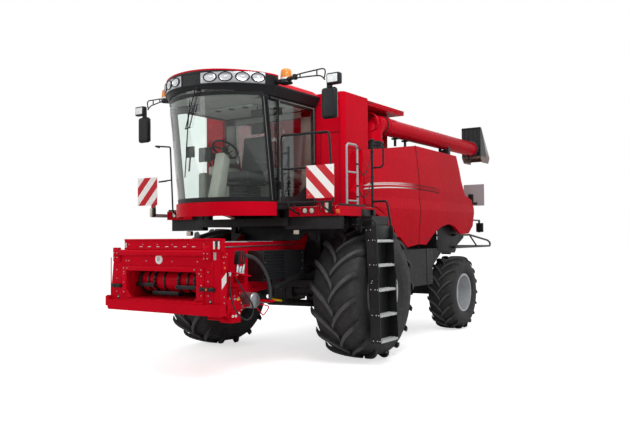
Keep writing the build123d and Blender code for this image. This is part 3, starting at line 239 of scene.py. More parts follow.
def bent(name, runs, radius, material, body, order=3, sides=3):
    """Round bar or wire bent along each run of places in millimetres."""
    data = bpy.data.curves.new(name, "CURVE")
    data.dimensions, data.bevel_depth, data.bevel_resolution = "3D", radius / 1000, sides
    data.use_fill_caps, data.resolution_u = True, 8
    for run in runs:
        spline = data.splines.new("NURBS")
        spline.points.add(len(run) - 1)
        for point, p in zip(spline.points, run):
            point.co = (*at(*p), 1)
        spline.order_u = min(order, len(run))
        spline.use_endpoint_u = True
    data.materials.append(MADE[material])
    piece = bpy.data.objects.new(name, data)
    bpy.context.scene.collection.objects.link(piece)
    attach(piece, body)
    return piece


def dress(material, *nodes):
    """Gives carried-over nodes their finish."""
    for name in nodes:
        for slot in NODES[name].material_slots:
            slot.material = MADE[material]


# ---------------------------------------------------------------- what a user may change


class HarvesterSizes(bpy.types.PropertyGroup):
    """Sizes of the pieces that are added to the frame."""

    front_lug: bpy.props.FloatProperty(name="Front lug height", description="Height of the front tyres' lugs",
                                       default=0.052, min=0.01, max=0.07, unit="LENGTH")
    rear_lug: bpy.props.FloatProperty(name="Rear lug height", description="Height of the rear tyres' lugs",
                                      default=0.038, min=0.01, max=0.06, unit="LENGTH")
    front_lugs: bpy.props.IntProperty(name="Front lugs", description="Lugs on each half of a front tyre",
                                      default=16, min=8, max=30)
    rear_lugs: bpy.props.IntProperty(name="Rear lugs", description="Lugs on each half of a rear tyre",
                                     default=18, min=8, max=30)
    nut: bpy.props.FloatProperty(name="Wheel nut", description="Width of a wheel nut across its flats",
                                 default=0.032, min=0.01, max=0.06, unit="LENGTH")
    chain: bpy.props.FloatProperty(name="Chain wire", description="Wire thickness of the safety chains",
                                   default=0.005, min=0.002, max=0.012, unit="LENGTH")


class HarvesterColours(bpy.types.PropertyGroup):
    """Powers of the stage's lamps, the strength of the sky and the colour of the studio floor."""

    key: bpy.props.FloatProperty(name="Key lamp", description="Power of the large lamp above the machine's left",
                                 default=360.0, min=0.0, unit="POWER")
    fill: bpy.props.FloatProperty(name="Fill lamp", description="Power of the lamp in front", default=90.0, min=0.0,
                                  unit="POWER")
    sky: bpy.props.FloatProperty(name="Sky", description="Strength of the light that comes from all round",
                                 default=0.46, min=0.0, max=2.0)
    floor: bpy.props.FloatVectorProperty(name="Floor", description="Colour of the studio floor", subtype="COLOR",
                                         default=linear("F4F4F4")[:3], size=3, min=0.0, max=1.0)


# ---------------------------------------------------------------- stage


class HARVESTER_OT_stage(bpy.types.Operator):
    """Makes the camera, the pale floor, the soft lamps and the white surroundings"""

    bl_idname = "harvester.stage"
    bl_label = "Stage"

    def execute(self, context):
        colours = context.scene.harvester_colours
        yaw, pitch, roll = (math.radians(a) for a in (33.868, 1.791, -0.487))
        forward = Vector((-math.sin(yaw) * math.cos(pitch), math.cos(yaw) * math.cos(pitch), math.sin(pitch)))
        level = Vector((math.cos(yaw), math.sin(yaw), 0))
        upright = level.cross(forward)
        right = level * math.cos(roll) + upright * math.sin(roll)
        up = upright * math.cos(roll) - level * math.sin(roll)
        data = bpy.data.cameras.new("camera")
        data.lens, data.sensor_width, data.clip_end = 40.16, 36.0, 200.0
        camera = bpy.data.objects.new("camera", data)
        context.scene.collection.objects.link(camera)
        camera.matrix_world = Matrix.Translation((6.486, -8.864 - SHIFT, 1.757)) @ Matrix(
            (right, up, -forward)).transposed().to_4x4()
        context.scene.camera = camera

        material, tree, shader, place = begin("studio_floor")
        cloud = add(tree, "MapRange", {0: add(tree, "TexNoise", {"Vector": place, "Scale": 1000 / 900, "Detail": 2}),
                                       1: 0.3, 2: 0.7, 3: 0.97, 4: 1.0})
        tint = add(tree, "Mix", {0: cloud, 6: (0.8, 0.8, 0.8, 1), 7: (*colours.floor, 1)}, 2, data_type="RGBA")
        tree.links.new(tint, shader.inputs["Base Color"])
        shader.inputs["Roughness"].default_value = 0.75
        rays = add(tree, "LightPath").node.outputs
        seen = add(tree, "Math", {0: rays["Is Camera Ray"], 1: 0.65}, operation="MULTIPLY")
        glow = add(tree, "Emission", {"Color": (1, 1, 1, 1), "Strength": seen})
        lit = add(tree, "AddShader", {0: shader.outputs[0], 1: glow})
        tree.links.new(lit, tree.nodes["Material Output"].inputs["Surface"])
        bm = bmesh.new()
        bmesh.ops.create_grid(bm, x_segments=2, y_segments=2, size=60)
        bmesh.ops.translate(bm, vec=(0, 0, -0.001), verts=bm.verts)
        mesh = bpy.data.meshes.new("floor")
        bm.to_mesh(mesh)
        bm.free()
        mesh.materials.append(material)
        floor = bpy.data.objects.new("floor", mesh)
        context.scene.collection.objects.link(floor)

        world = bpy.data.worlds.new("surroundings")
        context.scene.world = world
        world.use_nodes = True
        tree = world.node_tree
        rays = add(tree, "LightPath").node.outputs
        shown = add(tree, "Math", {0: rays["Is Camera Ray"], 1: add(tree, "Math",
                {0: rays["Is Glossy Ray"], 1: rays["Is Transmission Ray"]}, operation="MAXIMUM")},
                operation="MAXIMUM")
        strength = add(tree, "MapRange", {0: shown, 1: 0.0, 2: 1.0, 3: colours.sky, 4: 1.0})
        tree.links.new(strength, tree.nodes["Background"].inputs["Strength"])
        tree.nodes["Background"].inputs["Color"].default_value = (1, 1, 1, 1)
        # name, place, aim, size, power
        for name, spot, aim, size, power in (
            ("key", (4200, -3200, 7600), (0, 800, 1600), 5.0, colours.key),
            ("fill", (-3600, -7200, 4200), (0, 0, 1600), 4.5, colours.fill),
            ("back", (-3500, 8500, 6500), (0, 2000, 2000), 5.0, colours.fill),
        ):
            lamp = bpy.data.lights.new(name, "AREA")
            lamp.shape, lamp.size, lamp.energy = "DISK", size, power
            holder = bpy.data.objects.new(name, lamp)
            context.scene.collection.objects.link(holder)
            holder.location = at(*spot)
            holder.rotation_euler = (at(*aim) - at(*spot)).to_track_quat("-Z", "Y").to_euler()
        context.scene.view_settings.view_transform = "Standard"
        return {"FINISHED"}


# ---------------------------------------------------------------- hoses


class HARVESTER_OT_hoses(bpy.types.Operator):
    """Lays the hydraulic hose loop and the sheathed hose bundle at the feeder's left side"""

    bl_idname = "harvester.hoses"
    bl_label = "Hoses"

    def execute(self, context):
        # synthetic rubber hose: dull black, faint cloth pattern left by its wrapping, grey where dust lies
        finish("wrapped_hose_rubber", "202123", "2C2D2F", (0.5, 0.68), 120, 1.6, 0.25, dust=0.35)
        # woven nylon sleeve: dark grey, coarse diagonal weave, drawn at 7 mm so that it shows
        _, tree, shader, place = begin("woven_nylon_sleeve")
        weave = 0.0
        for slant in (45, -45):
            turn = add(tree, "Mapping", {"Vector": place, "Rotation": (math.radians(slant), 0, 0)})
            wave = add(tree, "TexWave", {"Vector": turn, "Scale": 1000 / 7 / 20 * math.pi, "Distortion": 0.3}, 1,
                       bands_direction="Z")
            weave = add(tree, "Math", {0: wave, 1: weave}, operation="ADD")
        tree.links.new(add(tree, "Mix", {0: add(tree, "MapRange", {0: weave, 1: 0.2, 2: 1.6}), 6: linear("17181A"),
                                         7: linear("3E4042")}, 2, data_type="RGBA"),
                       shader.inputs["Base Color"])
        tree.links.new(add(tree, "Bump", {"Height": weave, "Distance": 0.0012, "Strength": 0.7}),
                       shader.inputs["Normal"])
        tree.links.new(add(tree, "MapRange", {0: weave, 1: 0, 2: 2, 3: 0.75, 4: 0.55}), shader.inputs["Roughness"])
        # name, node, diameter, length, finish, route
        for name, node, wide, length, cover, route in (
            ("hydraulic_hose_loop", "feeder_hose_loop", 0.019, 1.372, "wrapped_hose_rubber",
             ((980, -2490, 1285), (980, -2490, 1165), (986, -2477, 1035), (994, -2428, 905), (1000, -2325, 795),
              (1000, -2205, 735), (1000, -2102, 763), (1000, -2063, 855), (998, -2105, 950), (990, -2205, 1050),
              (982, -2300, 1160), (980, -2368, 1258))),
            ("sheathed_hose_bundle", "feeder_hose_bundle", 0.048, 0.929, "woven_nylon_sleeve",
             ((900, -2170, 1520), (900, -2040, 1520), (900, -1900, 1480), (900, -1760, 1375), (900, -1650, 1225),
              (900, -1600, 1075), (900, -1600, 935))),
        ):
            hose = bent(name, [route], wide * 500, cover, "feeder", sides=6)
            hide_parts(node)
        return {"FINISHED"}


# ---------------------------------------------------------------- finishes of the carried-over nodes


def panel_stripes(tree, place, shade):
    """Thin stripes along the side panels: white at the front, turning black to the rear."""
    _, y, z = add(tree, "SeparateXYZ", {0: place}).node.outputs
    along = add(tree, "Math", {0: y, 1: SHIFT}, operation="ADD")
    # height at the front end, rise, bend, half thickness, start, end
    marks = 0.0
    for low, rise, bend, half, start, end in (
        (2.440, 0.095, -0.0295, 0.0085, -0.14, 2.62), (2.487, 0.090, -0.0290, 0.0050, -0.08, 2.62),
        (2.500, 0.100, -0.0310, 0.0040, -0.03, 2.62), (2.512, 0.100, -0.0310, 0.0030, 0.02, 2.62)):
        curve = add(tree, "Math", {0: add(tree, "Math", {0: along, 1: bend}, operation="MULTIPLY"), 1: along, 2: low},
                    operation="MULTIPLY_ADD")
        curve = add(tree, "Math", {0: along, 1: rise, 2: curve}, operation="MULTIPLY_ADD")
        off = add(tree, "Math", {0: add(tree, "Math", {0: z, 1: curve}, operation="SUBTRACT")}, operation="ABSOLUTE")
        line = add(tree, "MapRange", {0: off, 1: half - 0.0015, 2: half + 0.0015, 3: 1.0, 4: 0.0})
        reach = add(tree, "Math", {0: add(tree, "MapRange", {0: along, 1: start, 2: start + 0.05}),
                                   1: add(tree, "MapRange", {0: along, 1: end - 0.1, 2: end, 3: 1, 4: 0})},
                                   operation="MULTIPLY")
        marks = add(tree, "Math", {0: add(tree, "Math", {0: line, 1: reach}, operation="MULTIPLY"), 1: marks},
                    operation="MAXIMUM")
    ink = add(tree, "Mix", {0: add(tree, "MapRange", {0: along, 1: 0.9, 2: 1.75}, interpolation_type="SMOOTHSTEP"),
                            6: linear("F3F1EE"), 7: linear("1A1416")}, 2, data_type="RGBA")
    return add(tree, "Mix", {0: marks, 6: shade, 7: ink}, 2, data_type="RGBA")


def board_stripes(tree, place, shade):
    """Red and white stripes 100 mm wide, sloping down outwards, on the side of the boards that faces traffic."""
    x, y, z = add(tree, "SeparateXYZ", {0: place}).node.outputs
    slope = add(tree, "Math", {0: add(tree, "Math", {0: add(tree, "Math", {0: x}, operation="ABSOLUTE"), 1: z},
                                      operation="ADD"), 1: math.sqrt(0.5)}, operation="MULTIPLY")
    band = add(tree, "Math", {0: add(tree, "Math", {0: slope, 1: 2.8426 - 0.05}, operation="SUBTRACT"), 1: 0.1},
               operation="PINGPONG")
    red = add(tree, "MapRange", {0: band, 1: 0.0495, 2: 0.0505, 3: 1.0, 4: 0.0})
    facing = add(tree, "SeparateXYZ", {0: add(tree, "NewGeometry", out="Normal")}, 1)
    front = add(tree, "Math", {0: add(tree, "Math", {0: facing, 1: -0.5}, operation="LESS_THAN"),
                               1: add(tree, "Math", {0: y, 1: 0.0}, operation="LESS_THAN")}, operation="MULTIPLY")
    rear = add(tree, "Math", {0: add(tree, "Math", {0: facing, 1: 0.5}, operation="GREATER_THAN"),
                              1: add(tree, "Math", {0: y, 1: 0.0}, operation="GREATER_THAN")}, operation="MULTIPLY")
    shown = add(tree, "Math", {0: front, 1: rear}, operation="MAXIMUM")
    sheet = add(tree, "Mix", {0: red, 6: linear("F6F5F2"), 7: linear("C4101F")}, 2, data_type="RGBA")
    plain = add(tree, "Mix", {0: shown, 6: linear("A7A4A6"), 7: sheet}, 2, data_type="RGBA")
    lamp = add(tree, "Math", {0: z, 1: 2.05}, operation="LESS_THAN")
    return add(tree, "Mix", {0: lamp, 6: plain, 7: linear("141416")}, 2, data_type="RGBA")


def spout_tone(tree, place, shade):
    """The spout: a pale grey band of painted highlight along its sloping rear edge, browned by grain at its mouth."""
    _, y, z = add(tree, "SeparateXYZ", {0: place}).node.outputs
    # distance behind the sloping rear edge, square to it
    along = add(tree, "Math", {0: y, 1: 0.906}, operation="MULTIPLY")
    depth = add(tree, "Math", {0: z, 1: 0.426, 2: along}, operation="MULTIPLY_ADD")
    # pale grey band behind the sloping rear edge: painted highlight
    edge_highlight = add(tree, "MapRange", {0: depth, 1: 4.842, 2: 4.852, 3: 0.0, 4: 1.0})
    low = add(tree, "MapRange", {0: z, 1: 3.33, 2: 3.36, 3: 1.0, 4: 0.0})
    where = add(tree, "Math", {0: edge_highlight, 1: low}, operation="MAXIMUM")
    browned = add(tree, "MapRange", {0: z, 1: 3.32, 2: 3.52, 3: 1.0, 4: 0.0})
    highlight_and_stain = add(tree, "Mix", {0: browned, 6: linear("B9B5B4"), 7: linear("7C6156")}, 2, data_type="RGBA")
    return add(tree, "Mix", {0: where, 6: shade, 7: highlight_and_stain}, 2, data_type="RGBA")


def gate_tone(tree, place, shade):
    """The gate beside the ladder is galvanised, the other rails are black."""
    x, y, z = add(tree, "SeparateXYZ", {0: place}).node.outputs
    near = add(tree, "Math", {0: x, 1: 1.6, 2: 0.04}, operation="COMPARE")
    gate = add(tree, "Math", {0: y, 1: -0.67 - SHIFT, 2: 0.2}, operation="COMPARE")
    above = add(tree, "Math", {0: z, 1: 2.16}, operation="GREATER_THAN")
    where = add(tree, "Math", {0: add(tree, "Math", {0: near, 1: gate}, operation="MULTIPLY"), 1: above},
                operation="MULTIPLY")
    return add(tree, "Mix", {0: where, 6: shade, 7: linear("A3A4A6")}, 2, data_type="RGBA")


def mesh_tone(tree, place, shade):
    """Rows of holes on the rotary air screen, drawn as dots of painted shade: the dark inside seen through them."""
    _, y, z = add(tree, "SeparateXYZ", {0: place}).node.outputs
    across = add(tree, "Math", {0: y, 1: 0.011}, operation="PINGPONG")
    down = add(tree, "Math", {0: z, 1: 0.011}, operation="PINGPONG")
    both = add(tree, "Math", {0: across, 1: down}, operation="MINIMUM")
    # the holes are painted shade, near black against the sheet
    hole_shade = add(tree, "MapRange", {0: both, 1: 0.0035, 2: 0.0045})
    return add(tree, "Mix", {0: hole_shade, 6: shade, 7: linear("0D0D0E")}, 2, data_type="RGBA")


class HARVESTER_OT_finishes(bpy.types.Operator):
    """Makes the finishes and gives the carried-over nodes theirs"""

    bl_idname = "harvester.finishes"
    bl_label = "Finishes"

    def execute(self, context):
        # baked red enamel on pressed sheet: deep and glossy, slight orange peel, a clear sheen on top
        finish("baked_red_enamel", "CC0722", "C4051E", (0.25, 0.29), 700, 9.0, 0.012, dust=0.04, dust_top=2.0,
               coat=0.01,
               ior=1.25, level=0.07, round_mm=6)
        finish("striped_red_enamel", "CC0722", "C4051E", (0.25, 0.29), 700, 9.0, 0.012, dust=0.04, dust_top=2.0,
               coat=0.01, ior=1.25, level=0.07, round_mm=6, tone=panel_stripes)
        # chassis black over weldments: satin, slightly uneven, field dust low down
        finish("satin_chassis_black", "121214", "1C1C1E", (0.38, 0.55), 250, 5.0, 0.08, dust=0.45, dust_top=2.2,
               round_mm=4)
        # powder coat on tube: satin black with a fine pebble
        finish("black_powder_coat", "141517", "1C1D1F", (0.34, 0.46), 200, 2.0, 0.05, dust=0.1, dust_top=2.5)
        # cast and welded gearbox paint: warm mid grey, sand-cast pebble
        finish("grey_machine_paint", "55575A", "48494C", (0.45, 0.6), 250, 4.0, 0.15, dust=0.3, dust_top=3.5,
               round_mm=4)
        # wheel enamel: pale silver, low metallic glint, dust near the hub
        finish("silver_wheel_enamel", "C9CBCE", "B9BCC0", (0.3, 0.42), 180, 3.0, 0.04, metallic=0.35, dust=0.35,
               dust_top=1.3, coat=0.2)
        # hot-dip galvanised step sheet: spangled pale grey, worn bright
        finish("galvanised_steel", "B4B8BB", "8F9497", (0.35, 0.55), 22, 2.0, 0.05, metallic=0.6, dust=0.3,
               dust_top=2.5, round_mm=2)
        # moulded ABS: black, fine leather grain, soft sheen
        finish("black_moulded_abs", "131416", "1A1B1E", (0.36, 0.5), 300, 1.8, 0.12, dust=0.08, dust_top=4, ior=1.46,
               round_mm=4)
        finish("grey_moulded_trim", "8E8C86", "827F79", (0.5, 0.62), 200, 1.6, 0.10, ior=1.46, round_mm=4)
        finish("dark_cab_frame", "1F2124", "1A1C1F", (0.35, 0.5), 250, 3.0, 0.04, round_mm=5)
        # hard chrome on ground rod: mirror-like with faint circular grinding
        finish("hard_chrome", "D9DBDE", "C8CACD", (0.08, 0.18), 90, 1.0, 0.01, metallic=1.0)
        # zinc-plated steel: cool grey, slightly dull
        finish("zinc_plated_steel", "B9BDC0", "A3A7AA", (0.28, 0.42), 60, 1.5, 0.02, metallic=0.9)
        # zinc flake and white enamel on small fittings: pale, slightly chalky
        finish("pale_zinc_flake", "D5D3D2", "BDBBBA", (0.4, 0.55), 40, 1.5, 0.02, metallic=0.4)
        finish("white_enamel", "ECEAE6", "DEDCD8", (0.25, 0.35), 80, 2.0, 0.02, coat=0.3)
        finish("blank_label_grey", "A9A3A4", "B9B3B4", (0.4, 0.5), 60, 2.0, 0.01)
        finish("blank_label_blue", "7FA8D8", "8DB2DC", (0.35, 0.45), 60, 2.0, 0.01)
        finish("blank_label_yellow", "E8B62A", "DDAA22", (0.35, 0.45), 60, 2.0, 0.01)
        # moulded vinyl grip: bright yellow, soft sheen
        finish("yellow_moulded_grip", "F2BE12", "E8B10E", (0.35, 0.5), 90, 2.0, 0.05, ior=1.5)
        # reflex reflector: orange red, moulded prisms under a smooth face
        finish("orange_reflector", "F0621C", "E2521A", (0.12, 0.2), 20, 3.0, 0.1, ior=1.49, coat=0.5)
        # vacuum-metallised lamp panel: pale silver, satin
        finish("silver_lamp_panel", "B9BABD", "A7A8AC", (0.22, 0.34), 90, 3.0, 0.02, metallic=0.5, coat=0.4)
        # lamp glass over a bright reflector: white, faceted, shiny
        finish("white_lamp_lens", "EDEFF0", "D8DBDD", (0.08, 0.16), 18, 9.0, 0.3, ior=1.58, coat=0.6)
        # mouldings of the cab: pale warm grey, fine grain
        finish("pale_moulded_trim", "B9B8B0", "AEADA5", (0.5, 0.62), 200, 1.6, 0.10, ior=1.46)
        finish("pressed_headliner", "9DA39F", "929894", (0.7, 0.82), 200, 3.0, 0.2)
        finish("ribbed_floor_mat", "3A3B3C", "454647", (0.6, 0.75), 120, 6.0, 0.5)
        finish("dark_seat_piping", "232426", "2B2C2E", (0.6, 0.7), 60, 2.0, 0.1)
        finish("dark_display_glass", "0C0E11", "12151A", (0.06, 0.12), 200, 3.0, 0.0, coat=0.6)
        # woven seat cloth: charcoal with a grey fleck; threads drawn 4 mm apart so that they show
        finish("woven_seat_cloth", "4A4B4C", "5A5A58", (0.75, 0.9), 12, 4.0, 0.6)
        # round marker lamps: cream, softly ribbed; red tail lens: deep red with prisms
        finish("cream_lamp_lens", "E6DFCF", "D6CDBB", (0.12, 0.22), 20, 8.0, 0.3, ior=1.49, coat=0.5)
        finish("red_lamp_lens", "B5121B", "9E0C14", (0.1, 0.2), 16, 5.0, 0.2, ior=1.49, coat=0.5)
        # galvanised tread, worn bright where boots land
        finish("pale_galvanised_tread", "CFD1D2", "B0B3B5", (0.4, 0.55), 30, 3.0, 0.2, metallic=0.3, dust=0.25,
               dust_top=2.5)
        # black spout with a pale band of painted highlight along its rear edge and grain stain at its mouth; galvanised
        # gate among black rails; perforated screen sheet with its holes painted as dots of shade
        finish("spout_moulding", "131416", "1A1B1E", (0.3, 0.45), 300, 1.8, 0.12, coat=0.05, tone=spout_tone)
        finish("rail_coating", "141517", "1C1D1F", (0.34, 0.46), 200, 2.0, 0.05, dust=0.1, dust_top=2.5,
               tone=gate_tone)
        finish("perforated_screen_sheet", "3A3B3D", "444548", (0.4, 0.55), 150, 3.0, 0.1, dust=0.15, dust_top=3.5,
               tone=mesh_tone)
        # joint sealant, and painted shade in the gaps between panels: matt black line
        finish("seam_sealant", "1B0A0C", "240D10", (0.7, 0.85), 60, 2.0, 0.05)
        # soft EPDM rubber of boots and gaskets: black, powdery
        finish("boot_rubber", "17171A", "222224", (0.6, 0.78), 70, 2.0, 0.1, dust=0.2, dust_top=4)
        # turned steel under clear oil: brushed grey with soft highlights
        finish("machined_steel", "9EA1A4", "86898C", (0.3, 0.42), 70, 1.2, 0.02, metallic=0.85, dust=0.2, dust_top=3)
        # oiled roller chain: near black, wet edges worn to metal
        finish("oiled_chain_steel", "1A1A1B", "2B2A29", (0.28, 0.5), 30, 2.0, 0.05, metallic=0.5)
        # retroreflective sheet on aluminium: bright, faint prism grid
        finish("retroreflective_sheet", "F4F3F0", "ECEBE8", (0.3, 0.4), 300, 4.0, 0.03, tone=board_stripes)
        # amber polycarbonate: clear orange with moulded flutes, a dull glow inside
        _, tree, shader, place = begin("amber_polycarbonate")
        flutes = add(tree, "TexWave", {"Vector": place, "Scale": 22.0, "Distortion": 0.0}, 1, bands_direction="Z")
        tree.links.new(add(tree, "Mix", {0: flutes, 6: linear("F59A12"), 7: linear("D97400")}, 2, data_type="RGBA"),
                       shader.inputs["Base Color"])
        tree.links.new(add(tree, "Bump", {"Height": flutes, "Distance": 0.002}), shader.inputs["Normal"])
        tree.links.new(add(tree, "MapRange", {0: add(tree, "TexNoise", {"Vector": place, "Scale": 1000 / 20}), 1: 0.3,
                                              2: 0.7, 3: 0.12, 4: 0.22}), shader.inputs["Roughness"])
        shader.inputs["IOR"].default_value = 1.58
        shader.inputs["Subsurface Weight"].default_value = 0.25
        shader.inputs["Subsurface Scale"].default_value = 0.02
        # tinted safety glass: pale green body, mirror-like outside, lets the lamps in
        _, tree, shader, place = begin("tinted_safety_glass")
        drift = add(tree, "MapRange", {0: add(tree, "TexNoise", {"Vector": place, "Scale": 1000 / 700, "Detail": 2}),
                                       1: 0.3, 2: 0.7})
        tint = add(tree, "Mix", {0: drift, 6: linear("FBFDFC"), 7: linear("F5FAF8")}, 2, data_type="RGBA")
        clear = add(tree, "BsdfTransparent", {"Color": tint})
        gloss = add(tree, "BsdfGlossy", {"Color": (1, 1, 1, 1), "Roughness": 0.03})
        edge = add(tree, "Math", {0: add(tree, "LayerWeight", {"Blend": 0.5}, "Facing"), 1: 4.0}, operation="POWER")
        mirror = add(tree, "Math", {0: edge, 1: 0.55, 2: 0.03}, operation="MULTIPLY_ADD")
        both = add(tree, "MixShader", {0: mirror, 1: clear, 2: gloss})
        tree.links.new(both, tree.nodes["Material Output"].inputs["Surface"])

        dress("striped_red_enamel", "side_panel_front_left", "side_panel_front_right", "side_panel_rear_left",
              "side_panel_rear_right")
        dress("baked_red_enamel", "auger_tube", "feeder_housing", "header_drive", "cab_roof", "cab_skirt",
              "feeder_drum", "feeder_face", "fenders",
              "grain_tank", "platforms", "rear_hood", "tank_lid_left", "tank_lid_right")
        dress("satin_chassis_black", "auger_supports", "chassis_frame", "chopper_housing", "engine_bay",
              "front_axle", "fuel_tank", "knuckle_left", "knuckle_right",
              "lift_barrels", "rear_axle", "spreader_disc_left", "spreader_disc_right", "threshing_body", "tie_rod")
        dress("black_powder_coat", "spreader_guard")
        dress("rail_coating", "handrails")
        dress("grey_machine_paint", "engine_and_cooler")
        dress("perforated_screen_sheet", "air_screen")
        dress("silver_wheel_enamel", "rim_front_left", "rim_front_right", "rim_rear_left", "rim_rear_right")
        dress("black_powder_coat", "ladder")
        dress("black_moulded_abs", "cab_door", "cab_visor", "drive_shield")
        dress("spout_moulding", "auger_spout")
        dress("dark_cab_frame", "cab_frame")
        dress("hard_chrome", "lift_rods")
        dress("retroreflective_sheet", "boards_and_tail_lamps")
        dress("amber_polycarbonate", "beacons")
        dress("tinted_safety_glass", "cab_glass", "cab_door_glass", "windscreen")
        return {"FINISHED"}


# ---------------------------------------------------------------- tyres and wheels


def rubber(name, y, z, crown, lug):
    """Vulcanised tyre rubber: near black and dull, lug faces scuffed grey, pale dust in the corners."""
    material, tree, shader, place = begin(name)
    sockets = {"Vector": place, "Location": (0, -y, -z), "Scale": (0, 1, 1)}
    spoke = add(tree, "Mapping", sockets, vector_type="POINT")
    reach = add(tree, "VectorMath", {0: spoke}, "Value", operation="LENGTH")
    scuff = add(tree, "MapRange", {0: reach, 1: crown + lug * 0.55, 2: crown + lug * 0.95})
    scuff = add(tree, "Math", {0: scuff, 1: add(tree, "MapRange",
                                                {0: add(tree, "TexNoise",
                                                        {"Vector": place, "Scale": 1000 / 60, "Detail": 6,
                                                         "Roughness": 0.6}), 1: 0.3, 2: 0.6, 3: 0.55, 4: 1.0})},
                                                         operation="MULTIPLY")
    shade = add(tree, "Mix", {0: add(tree, "MapRange", {0: add(tree, "TexNoise",
                                                               {"Vector": place, "Scale": 1000 / 150, "Detail": 5}),
                                                               1: 0.35, 2: 0.65}), 6: linear("19191B"),
                                                               7: linear("222224")}, 2, data_type="RGBA")
    dust = add(tree, "Math", {0: add(tree, "MapRange", {0: add(tree, "TexNoise",
                                                               {"Vector": place, "Scale": 1000 / 90, "Detail": 6,
                                                                "Roughness": 0.7}), 1: 0.5, 2: 0.75}), 1: 0.22},
                                                                operation="MULTIPLY")
    shade = add(tree, "Mix", {0: dust, 6: shade, 7: linear("5E5A54")}, 2, data_type="RGBA")
    shade = add(tree, "Mix", {0: scuff, 6: shade, 7: linear("4E4E50")}, 2, data_type="RGBA")
    tree.links.new(shade, shader.inputs["Base Color"])
    tree.links.new(add(tree, "MapRange", {0: add(tree, "TexNoise",
                                                 {"Vector": place, "Scale": 1000 / 25, "Detail": 4}), 1: 0.3, 2: 0.7,
                                                 3: 0.62, 4: 0.82}), shader.inputs["Roughness"])
    tree.links.new(add(tree, "Bump", {"Height": add(tree, "TexNoise",
                                                    {"Vector": place, "Scale": 1000 / 5, "Detail": 4}),
                                                    "Distance": 0.0005}),
                   shader.inputs["Normal"])
    shader.inputs["IOR"].default_value = 1.52
    return material


def treaded_tyre(name, cover, side, x, y, radius, wide, bead, lug, count, phase):
    """A lugged tyre: its carcass is turned, and one lug is drawn out over half the tread, then set round it."""
    half, crown = wide / 2, radius - lug
    # share of the half width, radius as a share from the bead to the crown
    outline = [(0.80, 0.02), (0.86, 0.10), (0.93, 0.20), (0.945, 0.215), (0.955, 0.235), (0.985, 0.36), (1.0, 0.50),
               (0.992, 0.62), (0.985, 0.63), (0.985, 0.655), (0.975, 0.70), (0.93, 0.83), (0.87, 0.905),
               (0.78, 0.945),
               (0.60, 0.972), (0.38, 0.99), (0.0, 1.0)]
    rows = [(u * half, bead + v * (crown - bead)) for u, v in outline]
    bm = bmesh.new()
    turned(bm, rows + [(-a, r) for a, r in rows[-2::-1]], (x, y, radius), X, 96)
    axle = at(x, y, radius)
    # share of the half width, height over the crown as a share of the lug, turn in degrees, half widths of top and foot
    path = ((-0.07, 1.0, 0.0, 31, 50), (0.12, 1.0, 7.0, 34, 52), (0.32, 0.99, 12.6, 35, 52),
            (0.52, 0.97, 17.0, 33, 50),
            (0.72, 0.92, 20.6, 31, 48), (0.87, 0.78, 22.8, 29, 46), (0.96, 0.42, 24.3, 28, 44),
            (1.0, -0.85, 25.6, 26, 38))
    scale = 16 / count * radius / 945
    for way, start in ((1, phase), (-1, phase + 180 / count)):
        before, ends = set(bm.verts), []
        for u, rise, turn, top, foot in path:
            place = lug_row(axle, way, u * half, crown, lug, rise, start + turn * 16 / count, top * scale,
                                foot * scale, u)
            ends.append([bm.verts.new(p) for p in place])
        face = bm.faces.new(ends[0])
        loops = [face.edges[:]]
        for row in ends[1:]:
            loops.append([bm.edges.new((row[i], row[(i + 1) % 4])) for i in range(4)])
        for one, two in zip(loops, loops[1:]):
            bmesh.ops.bridge_loops(bm, edges=list(one) + two)
        bm.faces.new(ends[-1])
        tops = list({e for row in ends for v in row[1:3] for e in v.link_edges})
        bmesh.ops.bevel(bm, geom=tops, offset=0.005, affect="EDGES", segments=1, profile=0.5, material=-1,
                        clamp_overlap=True)
        grown = [v for v in bm.verts if v not in before]
        whole = grown + list({e for v in grown for e in v.link_edges}) + list({f for v in grown for f in v.link_faces})
        bmesh.ops.spin(bm, geom=whole, cent=axle, axis=X, angle=math.tau * (count - 1) / count, steps=count - 1,
                       use_duplicate=True)
    piece = settle(name, bm, cover, f"wheel_{side}", 30)
    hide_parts(f"tyre_{side}")
    return piece


def lug_row(axle, way, across, crown, lug, rise, turn, top, foot, share):
    """Four corners of a lug's section: foot, top, top, foot, at one place across the tread."""
    corners = []
    sunk = -0.012 if share < 0.95 else -0.03
    drop = 0.0 if share < 0.6 else (share - 0.6) ** 2 * 0.16
    for wide, high in ((-foot, None), (-top, rise), (top, rise), (foot, None)):
        reach = (crown - drop * 1000 + (sunk * 1000 if high is None else lug * high)) / 1000
        angle = math.radians(turn) + (wide / 1000) / (crown / 1000)
        corners.append(axle + Vector((way * across / 1000, -math.cos(angle) * reach, math.sin(angle) * reach)))
    return corners


class HARVESTER_OT_tyres(bpy.types.Operator):
    """Makes the four lugged tyres"""

    bl_idname = "harvester.tyres"
    bl_label = "Tyres"

    def execute(self, context):
        sizes = context.scene.harvester_sizes
        # axle, y, half track, radius, width, bead, lug height, lugs, first lug's angle
        for axle, y, x, radius, wide, bead, lug, count, phase in (
            ("front", 0, 1385, 945, 740, 432, sizes.front_lug * 1000, sizes.front_lugs, -3.9),
            ("rear", 3640, 1220, 680, 500, 330, sizes.rear_lug * 1000, sizes.rear_lugs, 2.0)):
            rubber(f"{axle}_tyre_rubber", y / 1000 - SHIFT, radius / 1000, (radius - lug) / 1000, lug / 1000)
            for side, way in SIDES:
                treaded_tyre(f"lugged_tyre_{axle}_{side}", f"{axle}_tyre_rubber", f"{axle}_{side}", way * x, y,
                             radius,
                             wide, bead, lug, count, phase)
        return {"FINISHED"}


# ---------------------------------------------------------------- helpers for rows and rounds


